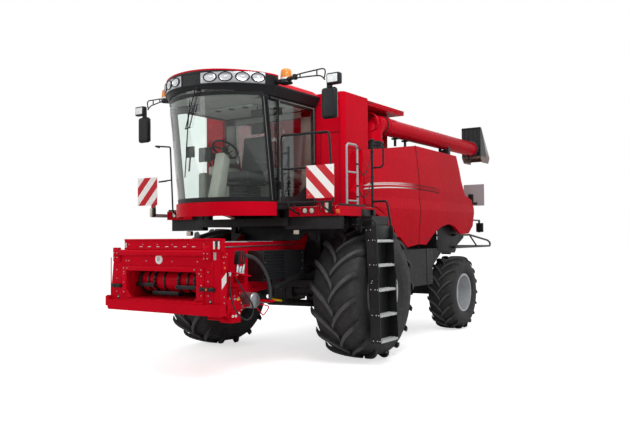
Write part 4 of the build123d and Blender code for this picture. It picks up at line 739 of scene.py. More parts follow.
def around(bm, before, middle, axis, count, sweep=math.tau):
    """Repeats everything added since before, evenly round an axis through middle."""
    grown = [v for v in bm.verts if v not in before]
    whole = grown + list({e for v in grown for e in v.link_edges}) + list({f for v in grown for f in v.link_faces})
    bmesh.ops.spin(bm, geom=whole, cent=at(*middle), axis=axis, angle=sweep * (count - 1) / count, steps=count - 1,
                   use_duplicate=True)


def moved(bm, before, matrix):
    """Moves everything added since before by a matrix."""
    bmesh.ops.transform(bm, matrix=matrix, verts=[v for v in bm.verts if v not in before])


def swept_arc(bm, profile, middle_y, start, end, steps=24):
    """A section of (radius, height) rows swept round an upright axis, from start to end degrees off the front."""
    centre = at(0, middle_y, 0)
    face = bm.faces.new([bm.verts.new(centre + Vector((0, -r / 1000, z / 1000))) for r, z in profile])
    bmesh.ops.rotate(bm, verts=face.verts, cent=centre, matrix=Matrix.Rotation(math.radians(start), 3, "Z"))
    bmesh.ops.spin(bm, geom=list(face.verts) + list(face.edges) + [face], cent=centre, axis=Z,
                   angle=math.radians(end - start), steps=steps)


# ---------------------------------------------------------------- wheels


class HARVESTER_OT_wheels(bpy.types.Operator):
    """Adds dished faces, nuts and hub covers to the four rims"""

    bl_idname = "harvester.wheels"
    bl_label = "Wheels"

    def execute(self, context):
        nut = context.scene.harvester_sizes.nut * 1000
        # axle, x of the disc's outer face, y, z, bead, hub radius, stud circle, studs, x of the cap's end
        for axle, face, y, z, bead, hub, circle, studs, end in (
            ("front", 1292, 0, 945, 417, 150, 192, 12, 1376), ("rear", 1202, 3640, 680, 315, 105, 140, 10, 1286)):
            for side, way in SIDES:
                body = f"wheel_{axle}_{side}"
                axis = X * way
                middle = (way * face, y, z)
                bm = bmesh.new()
                turned(bm, [(0.5, circle + 30), (14, circle + 42), (24, circle + 70), (26, bead - 70),
                            (20, bead - 34),
                            (6, bead - 12), (0.5, bead - 1)], middle, axis, 64)
                turned(bm, [(0.5, hub + 2), (9, hub + 8), (9, circle + 24), (0.5, circle + 28)], middle, axis, 64)
                settle(f"rim_dish_{axle}_{side}", bm, "silver_wheel_enamel", body, 30)
                bm = bmesh.new()
                before = set(bm.verts)
                start = (way * (face + 9), y, z + circle)
                bar(bm, start, (way * (face + 14), y, z + circle), nut * 0.78, 20)
                bar(bm, (way * (face + 13), y, z + circle), (way * (face + 38), y, z + circle), nut * 0.56, 6, ease=2)
                bar(bm, (way * (face + 36), y, z + circle), (way * (face + 52), y, z + circle), nut * 0.3, 12, ease=2)
                around(bm, before, middle, axis, studs)
                settle(f"wheel_nuts_{axle}_{side}", bm, "zinc_plated_steel", body, 30)
                bm = bmesh.new()
                reach = end - face
                turned(bm, [(reach - 40, hub * 0.81), (reach - 8, hub * 0.81), (reach + 4, hub * 0.74),
                            (reach + 8, hub * 0.6),
                            (reach + 8, hub * 0.3), (reach + 14, hub * 0.26), (reach + 14, 0)], middle, axis, 48)
                before = set(bm.verts)
                bar(bm, (way * (end + 5), y, z + hub * 0.66), (way * (end + 16), y, z + hub * 0.66), 9, 6, ease=1)
                around(bm, before, middle, axis, 8)
                settle(f"hub_cover_{axle}_{side}", bm,
                       "satin_chassis_black" if axle == "front" else "silver_wheel_enamel",
                       body, 30)
                if axle == "rear":
                    bm = bmesh.new()
                    turned(bm, [(10, hub + 1), (34, hub + 1), (34, hub - 8), (10, hub - 8)], middle, axis, 48)
                    settle(f"hub_ring_{axle}_{side}", bm, "baked_red_enamel", body, 30)
        return {"FINISHED"}


# ---------------------------------------------------------------- feeder


class HARVESTER_OT_feeder_face(bpy.types.Operator):
    """Adds the lips, brackets, bolts, latches and blank plates of the face that a header hangs on"""

    bl_idname = "harvester.feeder_face"
    bl_label = "Feeder face"

    def execute(self, context):
        front = -2664
        bm = bmesh.new()
        # rolled lip across the face, with the bar's upper edge rolled over
        cuboid(bm, (-735, front - 46, 1528), (765, front + 4, 1602), 22, 5)
        cuboid(bm, (-640, front - 22, 1716), (1020, front - 6, 1738), 7, 3)
        cuboid(bm, (-640, front - 18, 1608), (1020, front - 8, 1622), 4)
        # flange round the opening, its lower corners cut off
        cuboid(bm, (-690, front - 14, 1334), (735, front + 2, 1396), 5)
        cuboid(bm, (-690, front - 12, 1030), (-612, front + 2, 1338), 4)
        cuboid(bm, (612, front - 12, 1000), (735, front + 2, 1338), 4)
        plate(bm, ((-612, front - 10, 1100), (-500, front - 10, 986), (-612, front - 10, 986)), (0, 10, 0), 2)
        cuboid(bm, (-700, front - 40, 948), (740, front + 2, 975), 8, 3)
        # upright stiffeners and end brackets
        cuboid(bm, (868, front - 8, 960), (884, front + 2, 1560), 3)
        cuboid(bm, (-920, front - 6, 955), (-905, front + 2, 1500), 3)
        for low, high in (((-850, 1450), (-722, 1628)), ((725, 1478), (858, 1655))):
            cuboid(bm, (low[0], front - 26, low[1]), (high[0], front + 2, high[1]), 5)
            cuboid(bm, (low[0] + 18, front - 34, low[1] + 80), (high[0] - 18, front - 22, high[1] - 14), 4)
        # lower beam: lip, foot rail and the pad at each end
        cuboid(bm, (-905, front - 54, 930), (1018, front - 40, 956), 6, 3)
        cuboid(bm, (-900, front - 54, 826), (1015, front - 20, 846), 6, 3)
        cuboid(bm, (905, front - 54, 850), (985, front - 30, 925), 5)
        settle("face_lips", bm, "baked_red_enamel", "feeder", 40)

        bm = bmesh.new()
        heads(bm, [(x, front - 13, 1365) for x in (-655, -590, 590, 700)] + [(x, front - 13,
                1338 - 20) for x in (-650, 668)]
              + [(x, front, 1460) for x in (-620, -570, -250, 205, 630)] + [(x, front, z) for x in (-800,
                      800) for z in (1340, 1230, 1060)]
              + [(700, front - 12, z) for z in (1290, 1180, 1060)] + [(-655, front - 12, z) for z in (1290, 1180,
                      1060)]
              + [(x, front - 34, z) for x in (-815, -757, 765, 820) for z in (1500, 1560)], (0, -1, 0), 16, 6)
        heads(bm, [(x, front - 10, 1668) for x in (-560, -300, -40, 220, 480, 740)], (0, -1, 0), 13, 4)
        settle("face_bolts", bm, "zinc_plated_steel", "feeder", 30)

        bm = bmesh.new()
        for i in range(7):
            x = -334 + i * 152
            cuboid(bm, (x - 26, front - 13, 1636), (x + 26, front - 9, 1644), 1.5)
        settle("face_slots", bm, "pale_zinc_flake", "feeder", 30)
        bm = bmesh.new()
        for x in (907, 980):
            cuboid(bm, (x - 13, front - 22, 1610), (x + 13, front - 9, 1705), 11, 4)
        cuboid(bm, (-618, front - 20, 1625), (-600, front - 9, 1690), 8, 4)
        turned(bm, [(0, 0), (12, 0), (13, 50), (10, 58), (6, 61), (0, 62)], (-21, front, 1484), -Y, 40)
        settle("face_pale_fittings", bm, "white_enamel", "feeder", 30)
        bm = bmesh.new()
        turned(bm, [(12.5, 0), (14, 14), (14, 22), (12.5, 30)], (-21, front, 1484), -Y, 32)
        cuboid(bm, (880, front - 2, 1484), (926, front - 0.5, 1588), 0)
        settle("face_blank_label", bm, "blank_label_grey", "feeder", 30)
        bm = bmesh.new()
        # latches, dark blocks of painted shade in the notch between the pale pins and in the left bracket's slot, and
        # the two dark sockets
        for low, high in ((-872, -702), (676, 905)):
            cuboid(bm, (low, front - 30, 1112), (high, front + 2, 1158), 6, 3)
            cuboid(bm, (low + 12, front - 38, 1124), (low + 60, front - 28, 1146), 4)
            cuboid(bm, (high - 60, front - 38, 1124), (high - 12, front - 28, 1146), 4)
        cuboid(bm, (930, front - 16, 1640), (957, front - 9, 1734), 6, 3)
        for x in (-773, 832):
            turned(bm, [(0, 26), (3, 24), (3, 12), (1, 10)], (x, front, 992), -Y, 24)
        # dark block in the slot of the left bracket: painted shade
        cuboid(bm, (-742, front - 30, 1520), (-724, front - 24, 1618), 3)
        settle("face_latches_and_notch_shade", bm, "black_moulded_abs", "feeder", 30)
        bm = bmesh.new()
        cuboid(bm, (786, front - 41, 1122), (812, front - 36, 1148), 3)
        settle("latch_marker", bm, "orange_reflector", "feeder", 30)
        bm = bmesh.new()
        for x in (-773, 832):
            bar(bm, (x, front - 1, 992), (x, front - 7, 992), 9, 16, ease=2)
        settle("socket_pins", bm, "white_enamel", "feeder", 30)
        # hook at the right end
        bm = bmesh.new()
        plate(bm, ((-958, -2700, 870), (-958, -2700, 960), (-958, -2712, 990), (-958, -2690, 1012),
                   (-958, -2660, 1000),
                   (-958, -2655, 870)), (44, 0, 0), 4)
        for x in (960, 996):
            plate(bm, ((x, -2560, 840), (x, -2560, 1000), (x, -2530, 1015), (x, -2500, 985), (x, -2515, 860)),
                  (12, 0, 0), 3)
        # flange's side: hinge bracket
        cuboid(bm, (1000, -2655, 1495), (1014, -2590, 1540), 4)
        cuboid(bm, (1000, -2655, 1330), (1010, -2600, 1480), 3)
        settle("face_hooks", bm, "baked_red_enamel", "feeder", 40)
        bm = bmesh.new()
        plate(bm, ((1001, -2655, 1142), (1001, -2655, 1262), (1001, -2572, 1335), (1001, -2572, 1222)), (1.5, 0, 0))
        settle("side_blank_label", bm, "white_enamel", "feeder", 30)
        bm = bmesh.new()
        cuboid(bm, (1010, -2628, 1380), (1016, -2600, 1404), 2)
        settle("side_marker", bm, "orange_reflector", "feeder", 30)
        bm = bmesh.new()
        heads(bm, [(1014, -2640, 1518), (1014, -2605, 1518), (1010, -2630, 1450), (1003, -2620, 1050),
                   (1003, -2620, 980)], (1, 0, 0), 16, 7)
        settle("side_bolts", bm, "zinc_plated_steel", "feeder", 30)
        return {"FINISHED"}


class HARVESTER_OT_drum(bpy.types.Operator):
    """Adds the feeder drum's chains, dark bands of painted shadow round it, and slats"""

    bl_idname = "harvester.drum"
    bl_label = "Feeder drum and chains"

    def execute(self, context):
        axle = (-2330, 1200)  # y and z of the drum
        bm = bmesh.new()
        for x in (-540, -280, 140, 420):
            before = set(bm.verts)
            cuboid(bm, (x - 17, -2351, 1352), (x + 17, -2309, 1378), 5, 1)
            cuboid(bm, (x - 24, -2343, 1357), (x + 24, -2317, 1373), 3, 1)
            around(bm, before, (x, *axle), X, 24)
        # dark rings round the drum between the chains: painted shadow
        for x in (-400, -120, 290):
            turned(bm, [(-14, 150), (-14, 163.5), (14, 163.5), (14, 150)], (x, *axle), X, 64)
        settle("drum_chains_and_shadow_bands", bm, "oiled_chain_steel", "feeder_drum", 30)
        bm = bmesh.new()
        # start, end, middle of the slat's front
        for low, high, y, z in ((-590, -262, -2522, 1150), (122, 590, -2522, 1136), (-300, 160, -2512, 1052)):
            cuboid(bm, (low, y - 4, z - 26), (high, y + 4, z + 22), 2)
            cuboid(bm, (low, y, z - 28), (high, y + 46, z - 20), 2)
            heads(bm, [(x, y - 4, z - 2) for x in (low + 22, low + 60, high - 60, high - 22)], (0, -1, 0), 15, 7)
            for x in (low + 40, high - 40):
                for k in range(4):
                    cuboid(bm, (x - 16, y + 8 + k * 44, z - 20 - k * 3), (x + 16, y + 44 + k * 44, z + 2 - k * 3), 4,
                           1)
        settle("chain_slats", bm, "black_powder_coat", "feeder", 30)
        return {"FINISHED"}


class HARVESTER_OT_header_drive(bpy.types.Operator):
    """Adds couplers, hub, bolts, labels, handle and wire loop at the feeder's left side"""

    bl_idname = "harvester.header_drive"
    bl_label = "Header drive"

    def execute(self, context):
        bm = bmesh.new()
        for y in (-2270, -2215, -2160):
            foot, top = Vector((900, y, 1285)), Vector((900, y + 22, 1420))
            bar(bm, foot, top, 22.5, 24, ease=2)
            for share, radius in ((0.1, 27), (0.55, 25.5), (0.9, 26)):
                p = foot.lerp(top, share)
                bar(bm, p, p + (top - foot).normalized() * 14, radius, 24, ease=2)
        bar(bm, (980, -2490, 1288), (980, -2490, 1339), 18, 6, ease=2)
        bar(bm, (980, -2490, 1302), (980, -2490, 1322), 21, 24, ease=2)
        settle("coupler_sleeves", bm, "hard_chrome", "feeder", 30)
        bm = bmesh.new()
        for y in (-2262, -2215, -2168):
            before = set(bm.verts)
            cuboid(bm, (862, y - 21, 1416), (938, y + 21, 1585), 12, 3)
            moved(bm, before, Matrix.Translation(at(900, y, 1416)) @ Matrix.Rotation(math.radians(-7), 4, "X")
                  @ Matrix.Translation(-at(900, y, 1416)))
        settle("coupler_caps", bm, "black_moulded_abs", "feeder", 40)
        bm = bmesh.new()
        for y in (-2262, -2215):
            before = set(bm.verts)
            cuboid(bm, (932, y + 20, 1450), (941, y + 29, 1590), 3)
            moved(bm, before, Matrix.Translation(at(900, y, 1416)) @ Matrix.Rotation(math.radians(-7), 4, "X")
                  @ Matrix.Translation(-at(900, y, 1416)))
        # gearbox flanges, ribs and the bolted cover
        turned(bm, [(0, 158), (14, 158), (18, 152), (18, 120), (24, 112), (24, 0)], (866, -2300, 900), X, 48)
        turned(bm, [(0, 118), (20, 118), (24, 112), (24, 96)], (742, -1980, 960), X, 40)
        cuboid(bm, (618, -2490, 1108), (828, -2110, 1126), 6)
        cuboid(bm, (618, -2490, 752), (828, -2110, 770), 6)
        for y in (-2470, -2140):
            cuboid(bm, (818, y - 8, 780), (834, y + 8, 1100), 4)
        cuboid(bm, (736, -2396, 742), (926, -2214, 756), 4)
        # brackets under the coupler plate and beside the hub
        cuboid(bm, (720, -2120, 1180), (900, -2106, 1290), 3)
        cuboid(bm, (860, -2090, 880), (880, -1870, 915), 4)
        cuboid(bm, (900, -2080, 890), (925, -1900, 910), 4)
        cuboid(bm, (720, -2440, 1290), (980, -2425, 1345), 4)
        settle("drive_castings", bm, "baked_red_enamel", "feeder", 35)
        bm = bmesh.new()
        before = set(bm.verts)
        bar(bm, (884, -2300, 1036), (892, -2300, 1036), 11, 6)
        around(bm, before, (884, -2300, 900), X, 10)
        heads(bm, [(834, y, z) for y in (-2470, -2140) for z in (820, 900, 980, 1060)], (1, 0, 0), 16, 7)
        heads(bm, [(900, y, 1550) for y in (-2455, -2445)], (1, 0, 0), 12, 6)
        heads(bm, [(870, y, 1200 + k * 110) for y in (-1670, -830) for k in range(4)], (1, 0, 0), 18, 6)
        settle("drive_bolts", bm, "zinc_plated_steel", "feeder", 30)
        bm = bmesh.new()
        for y, z in ((-2372, 800), (-2318, 797), (-2262, 826)):
            bar(bm, (920, y, z), (934, y, z), 17, 24, ease=3)
        settle("drive_pins", bm, "white_enamel", "feeder", 30)
        bm = bmesh.new()
        turned(bm, [(-130, 99), (80, 99), (92, 91), (97, 76), (95, 60), (100, 46), (102, 20), (102, 0)],
               (870, -1980, 960), X, 48)
        settle("drive_hub", bm, "machined_steel", "feeder", 30)
        for name, ink, y, z, wide, tall in (("blue", "blank_label_blue", -2292, 998, 30, 20),
                                            ("yellow", "blank_label_yellow", -2228, 992, 58, 30)):
            bm = bmesh.new()
            cuboid(bm, (890, y - wide / 2, z - tall / 2), (891.5, y + wide / 2, z + tall / 2), 0)
            settle(f"drive_blank_label_{name}", bm, ink, "feeder", 30)
        bm = bmesh.new()
        for k in range(9):
            z = 1205 + k * 40
            cuboid(bm, (868, -1690, z - 7), (882, -1250, z + 7), 5, 2)
        cuboid(bm, (620, -1712, 1172), (880, -1694, 1570), 6)
        cuboid(bm, (620, -1706, 1556), (880, -792, 1572), 6)
        cuboid(bm, (620, -820, 1172), (880, -792, 1568), 6)
        turned(bm, [(0, 56), (0, 72), (26, 72), (26, 56)], (840, -1500, 1050), (Vector((0, 940, 252))).normalized(),
               32)
        settle("shield_ribs", bm, "black_moulded_abs", "feeder", 35)
        bent("red_wire_loop", [((900, -1900, 898), (900, -1905, 880), (900, -1760, 752), (900, -1735, 752),
                                (900, -1628, 836),
                                (900, -1640, 860), (900, -1780, 892), (900, -1890, 900))], 7, "baked_red_enamel",
                                "feeder")
        bm = bmesh.new()
        bar(bm, (672, -1290, 911), (672, -1050, 872), 17, 24, ease=5)
        settle("yellow_handle", bm, "yellow_moulded_grip", "feeder", 40)
        bm = bmesh.new()
        bar(bm, (672, -1052, 873), (672, -960, 858), 11, 16)
        cuboid(bm, (622, -985, 846), (684, -955, 1150), 5)
        settle("handle_lever", bm, "black_powder_coat", "feeder", 40)
        # duct's seam and stiffeners along its side and top
        bm = bmesh.new()
        for s in (-1, 1):
            plate(bm, ((s * 620, -2555, 1560), (s * 620, -2230, 1634), (s * 620, -560, 1650), (s * 620, -560, 1636),
                       (s * 620, -2230, 1618),
                       (s * 620, -2555, 1544)), (s * 8, 0, 0), 2)
        for y in (-2250, -1700, -1150, -620):
            cuboid(bm, (-618, y - 18, 1678 if y > -2240 else 1672), (618, y + 18, 1690 if y < -1800 else 1694), 4)
        settle("duct_seams", bm, "machined_steel", "feeder", 35)
        return {"FINISHED"}


# ---------------------------------------------------------------- cab


def screen_rows(z):
    """Middle and radius, in millimetres, of the windscreen's plan at a height."""
    share = (z - 2215) / 1470
    side, front = -1430 - 198.8 * share, -1960 - 156.9 * share
    sag = side - front
    radius = (845**2 + sag**2) / (2 * sag)
    return front + radius, radius


def on_screen(x, z, proud=0.0):
    """A place on the windscreen's outside, in millimetres, standing proud of it."""
    middle, radius = screen_rows(z)
    lean = math.asin(x / radius)
    reach = radius + proud
    return (math.sin(lean) * reach, middle - math.cos(lean) * reach, z)


def screen_band(bm, low, high, half, proud, thick):
    """A strip along the windscreen between two heights."""
    rows = []
    for z in (low, high):
        middle, radius = screen_rows(z)
        reach, turn = radius + proud, math.asin(half / radius)
        start = bm.verts.new(at(-math.sin(turn) * reach, middle - math.cos(turn) * reach, z))
        bmesh.ops.spin(bm, geom=[start], cent=at(0, middle, z), axis=Z, angle=2 * turn, steps=32)
        rows.append(start)
    loops = [[], []]
    for i, start in enumerate(rows):
        vert, last = start, None
        while True:
            following = [e for e in vert.link_edges if e is not last]
            if not following:
                break
            last = following[0]
            loops[i].append(last)
            vert = last.other_vert(vert)
    faces = bmesh.ops.bridge_loops(bm, edges=loops[0] + loops[1])["faces"]
    bmesh.ops.recalc_face_normals(bm, faces=faces)
    bmesh.ops.solidify(bm, geom=faces, thickness=thick / 1000)


class HARVESTER_OT_visor(bpy.types.Operator):
    """Adds the lamp panels with their lamps, the wipers and the windscreen's black border"""

    bl_idname = "harvester.visor"
    bl_label = "Visor lamps and wipers"

    def execute(self, context):
        middle, radius = -1156.6, 1008.4
        section = ((radius - 6, 3752), (radius + 3, 3750), (radius + 6, 3758), (radius + 6, 3884), (radius + 3, 3893),
                   (radius - 6, 3892))
        bm = bmesh.new()
        swept_arc(bm, section, middle, 11.5, 60.5, 40)
        swept_arc(bm, section, middle, -60.5, -7, 40)
        settle("lamp_panels", bm, "silver_lamp_panel", "chassis", 40)
        bm = bmesh.new()
        lip = ((radius - 4, 3732), (radius + 5, 3730), (radius + 9, 3738), (radius + 5, 3748), (radius - 4, 3748))
        swept_arc(bm, lip, middle, -61, 61, 64)
        swept_arc(bm, ((radius - 4, 3892), (radius + 4, 3890), (radius + 6, 3895), (radius - 4, 3899)), middle, -61,
                  61, 64)
        for edge in (11.2, 60.6, -60.9, -7.2):
            swept_arc(bm, ((radius - 4, 3748), (radius + 8, 3748), (radius + 8, 3892), (radius - 4, 3892)), middle,
                      edge, edge + 0.4, 2)
        settle("lamp_panel_frames", bm, "black_moulded_abs", "chassis", 40)
        rings, bowls, lenses = bmesh.new(), bmesh.new(), bmesh.new()
        for turn in (19.3, 31, 43.5, 55, -14.5, -26, -38, -50):
            for bm, rows in ((rings, [(-4, 64), (8, 64), (12, 60), (12, 55), (7, 51), (-4, 51), (-4, 64)]),
                             (bowls, [(8, 53), (5, 46), (2, 30), (1, 14), (1, 0)]),
                             (lenses, [(1, 17), (7, 16), (11, 10), (12, 0)])):
                before = set(bm.verts)
                turned(bm, rows, (0, SHIFT * 1000, 0), -Y, 32)
                place = (Matrix.Translation(at(0, middle, 3824)) @ Matrix.Rotation(math.radians(turn), 4, "Z")
                         @ Matrix.Translation((0, -(radius + 6) / 1000, 0)) @ Matrix.Diagonal((1.5, 1, 1, 1)))
                moved(bm, before, place)
        settle("lamp_rings", rings, "black_moulded_abs", "chassis", 40)
        settle("lamp_bowls", bowls, "hard_chrome", "chassis", 60)
        settle("lamp_lenses", lenses, "white_lamp_lens", "chassis", 60)

        bm = bmesh.new()
        screen_band(bm, 2217, 2280, 838, 2, 2)
        screen_band(bm, 3600, 3650, 838, 2, 2)
        for s in (-1, 1):
            foot, head = on_screen(s * 832, 2217, 2), on_screen(s * 832, 3612, 2)
            bar(bm, foot, head, 24, 12)
            bar(bm, (s * 850, -1400, 2240), (s * 850, -1586, 3600), 16, 12)
            # sealing strip down the rear edge of the side pane
            cuboid(bm, (s * 851 - 6, -505, 2240) if s < 0 else (845, -462, 2240),
                   (s * 851 + 2, -480, 3560) if s < 0 else (852, -440, 3560), 2)
        settle("windscreen_border", bm, "black_moulded_abs", "chassis", 40)
        bm = bmesh.new()
        for s in (-1, 1):
            for proud, shift in ((20, -1), (9, 24)):
                foot, head = on_screen(s * 829, 2240, proud), on_screen(s * 829, 3590, proud)
                bar(bm, (foot[0] + s * 8, foot[1] + shift, foot[2]), (head[0] + s * 8, head[1] + shift, head[2]), 3.2,
                    8)
        settle("pillar_trim_lines", bm, "grey_moulded_trim", "chassis", 40)

        bm = bmesh.new()
        arms = (((95, 3690), (-129, 3199)), ((150, 3680), (-55, 3204)))
        for top, foot in arms:
            bar(bm, on_screen(top[0], top[1], 26), on_screen(foot[0], foot[1], 22), 8, 10)
        bar(bm, on_screen(122, 3702, -4), on_screen(122, 3690, 34), 26, 20, ease=4)
        bar(bm, on_screen(-138, 3196, 24), on_screen(-40, 3210, 24), 9, 10)
        blade = [on_screen(x, z, 12) for x, z in ((-20, 3560), (-90, 3240), (-170, 2860), (-245, 2560))]
        for one, two in zip(blade, blade[1:]):
            bar(bm, one, two, 7, 8)
        blade = [on_screen(x, z, 20) for x, z in ((-60, 3400), (-90, 3210), (-150, 2940))]
        for one, two in zip(blade, blade[1:]):
            bar(bm, one, two, 6, 8)
        settle("wiper", bm, "black_powder_coat", "chassis", 40)
        return {"FINISHED"}


PAD_VOXEL = 0.008  # metres between the cloth's points
PAD_PRESSURE = 4.0
PAD_FRAMES = 20  # steps of the cloth
PAD_SWELL = 0.012  # the furthest that a point may move, in metres


def pad(name, low, high, tilt, hinge, body="chassis"):
    """A seat cushion or back: blown up as cloth from a slightly smaller block, and leant back about hinge."""
    bm = bmesh.new()
    inset = 9
    cuboid(bm, tuple(v + inset for v in low), tuple(v - inset for v in high), 34, 5)
    piece = settle(name, bm, "woven_seat_cloth", body, 180)
    mesh = piece.data
    remesh = piece.modifiers.new("even", "REMESH")
    remesh.mode, remesh.voxel_size = "VOXEL", PAD_VOXEL
    apply_all(piece)
    mesh = piece.data
    rest = [v.co.copy() for v in mesh.vertices]
    cloth = piece.modifiers.new("air", "CLOTH")
    cloth.settings.use_pressure = True
    cloth.settings.uniform_pressure_force = PAD_PRESSURE
    cloth.settings.effector_weights.gravity = 0.0
    for frame in range(1, PAD_FRAMES + 1):
        bpy.context.scene.frame_set(frame)
    apply_all(piece)
    bpy.context.scene.frame_set(1)
    mesh = piece.data
    for vert, start in zip(mesh.vertices, rest):
        step = vert.co - start
        vert.co = start + step * min(1.0, PAD_SWELL / max(step.length, 1e-6))
    if tilt:
        turn = (Matrix.Translation(at(*hinge)) @ Matrix.Rotation(math.radians(tilt), 4, "X")
                @ Matrix.Translation(-at(*hinge)))
        mesh.transform(turn)
    mesh.shade_smooth()
    finer = piece.modifiers.new("finer", "SUBSURF")
    finer.levels = finer.render_levels = 1
    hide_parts("cab_seats")
    return piece


def apply_all(piece):
    """Turns a piece's live modifiers into its mesh."""
    graph = bpy.context.evaluated_depsgraph_get()
    mesh = bpy.data.meshes.new_from_object(piece.evaluated_get(graph))
    piece.modifiers.clear()
    piece.data = mesh


class HARVESTER_OT_seats(bpy.types.Operator):
    """Makes the operator's seat and the instructor's seat, padded, on their bellows and frames"""

    bl_idname = "harvester.seats"
    bl_label = "Seats"

    def execute(self, context):
        floor = 2215
        for name, x, y, half in (("operator", 0, -1000, 260), ("instructor", 560, -830, 200)):
            pad(f"{name}_cushion", (x - half, y - 270, floor + 322), (x + half, y + 225, floor + 440), -3,
                (x, y + 225, floor + 380))
            pad(f"{name}_back", (x - half + 10, y + 138, floor + 440), (x + half - 10, y + 236, floor + 1040), -9,
                (x, y + 180, floor + 440))
            if name == "operator":
                pad("operator_headrest", (x - 130, y + 240, floor + 1045), (x + 130, y + 320, floor + 1230), -9,
                    (x, y + 280, floor + 1045))
                for s in (-1, 1):
                    pad(f"operator_armrest_{'left' if s > 0 else 'right'}", (s * 300 - 38, y - 160, floor + 560),
                        (s * 300 + 38, y + 190, floor + 625), 0, None)
            bm = bmesh.new()
            for k in range(6):
                cuboid(bm, (x - 150 + (k % 2) * 6, y - 150 + (k % 2) * 6, floor + 4 + k * 44),
                       (x + 150 - (k % 2) * 6, y + 190 - (k % 2) * 6, floor + 44 + k * 44), 10, 2)
            cuboid(bm, (x - half + 30, y - 240, floor + 272), (x + half - 30, y + 215, floor + 326), 12, 2)
            settle(f"{name}_seat_bellows", bm, "black_moulded_abs", "chassis", 40)
            bm = bmesh.new()
            for edge in (x - half + 26, x + half - 26):
                bar(bm, (edge, y - 230, floor + 430), (edge, y + 190, floor + 430), 4, 8)
            settle(f"{name}_seat_piping", bm, "dark_seat_piping", "chassis", 40)
        return {"FINISHED"}


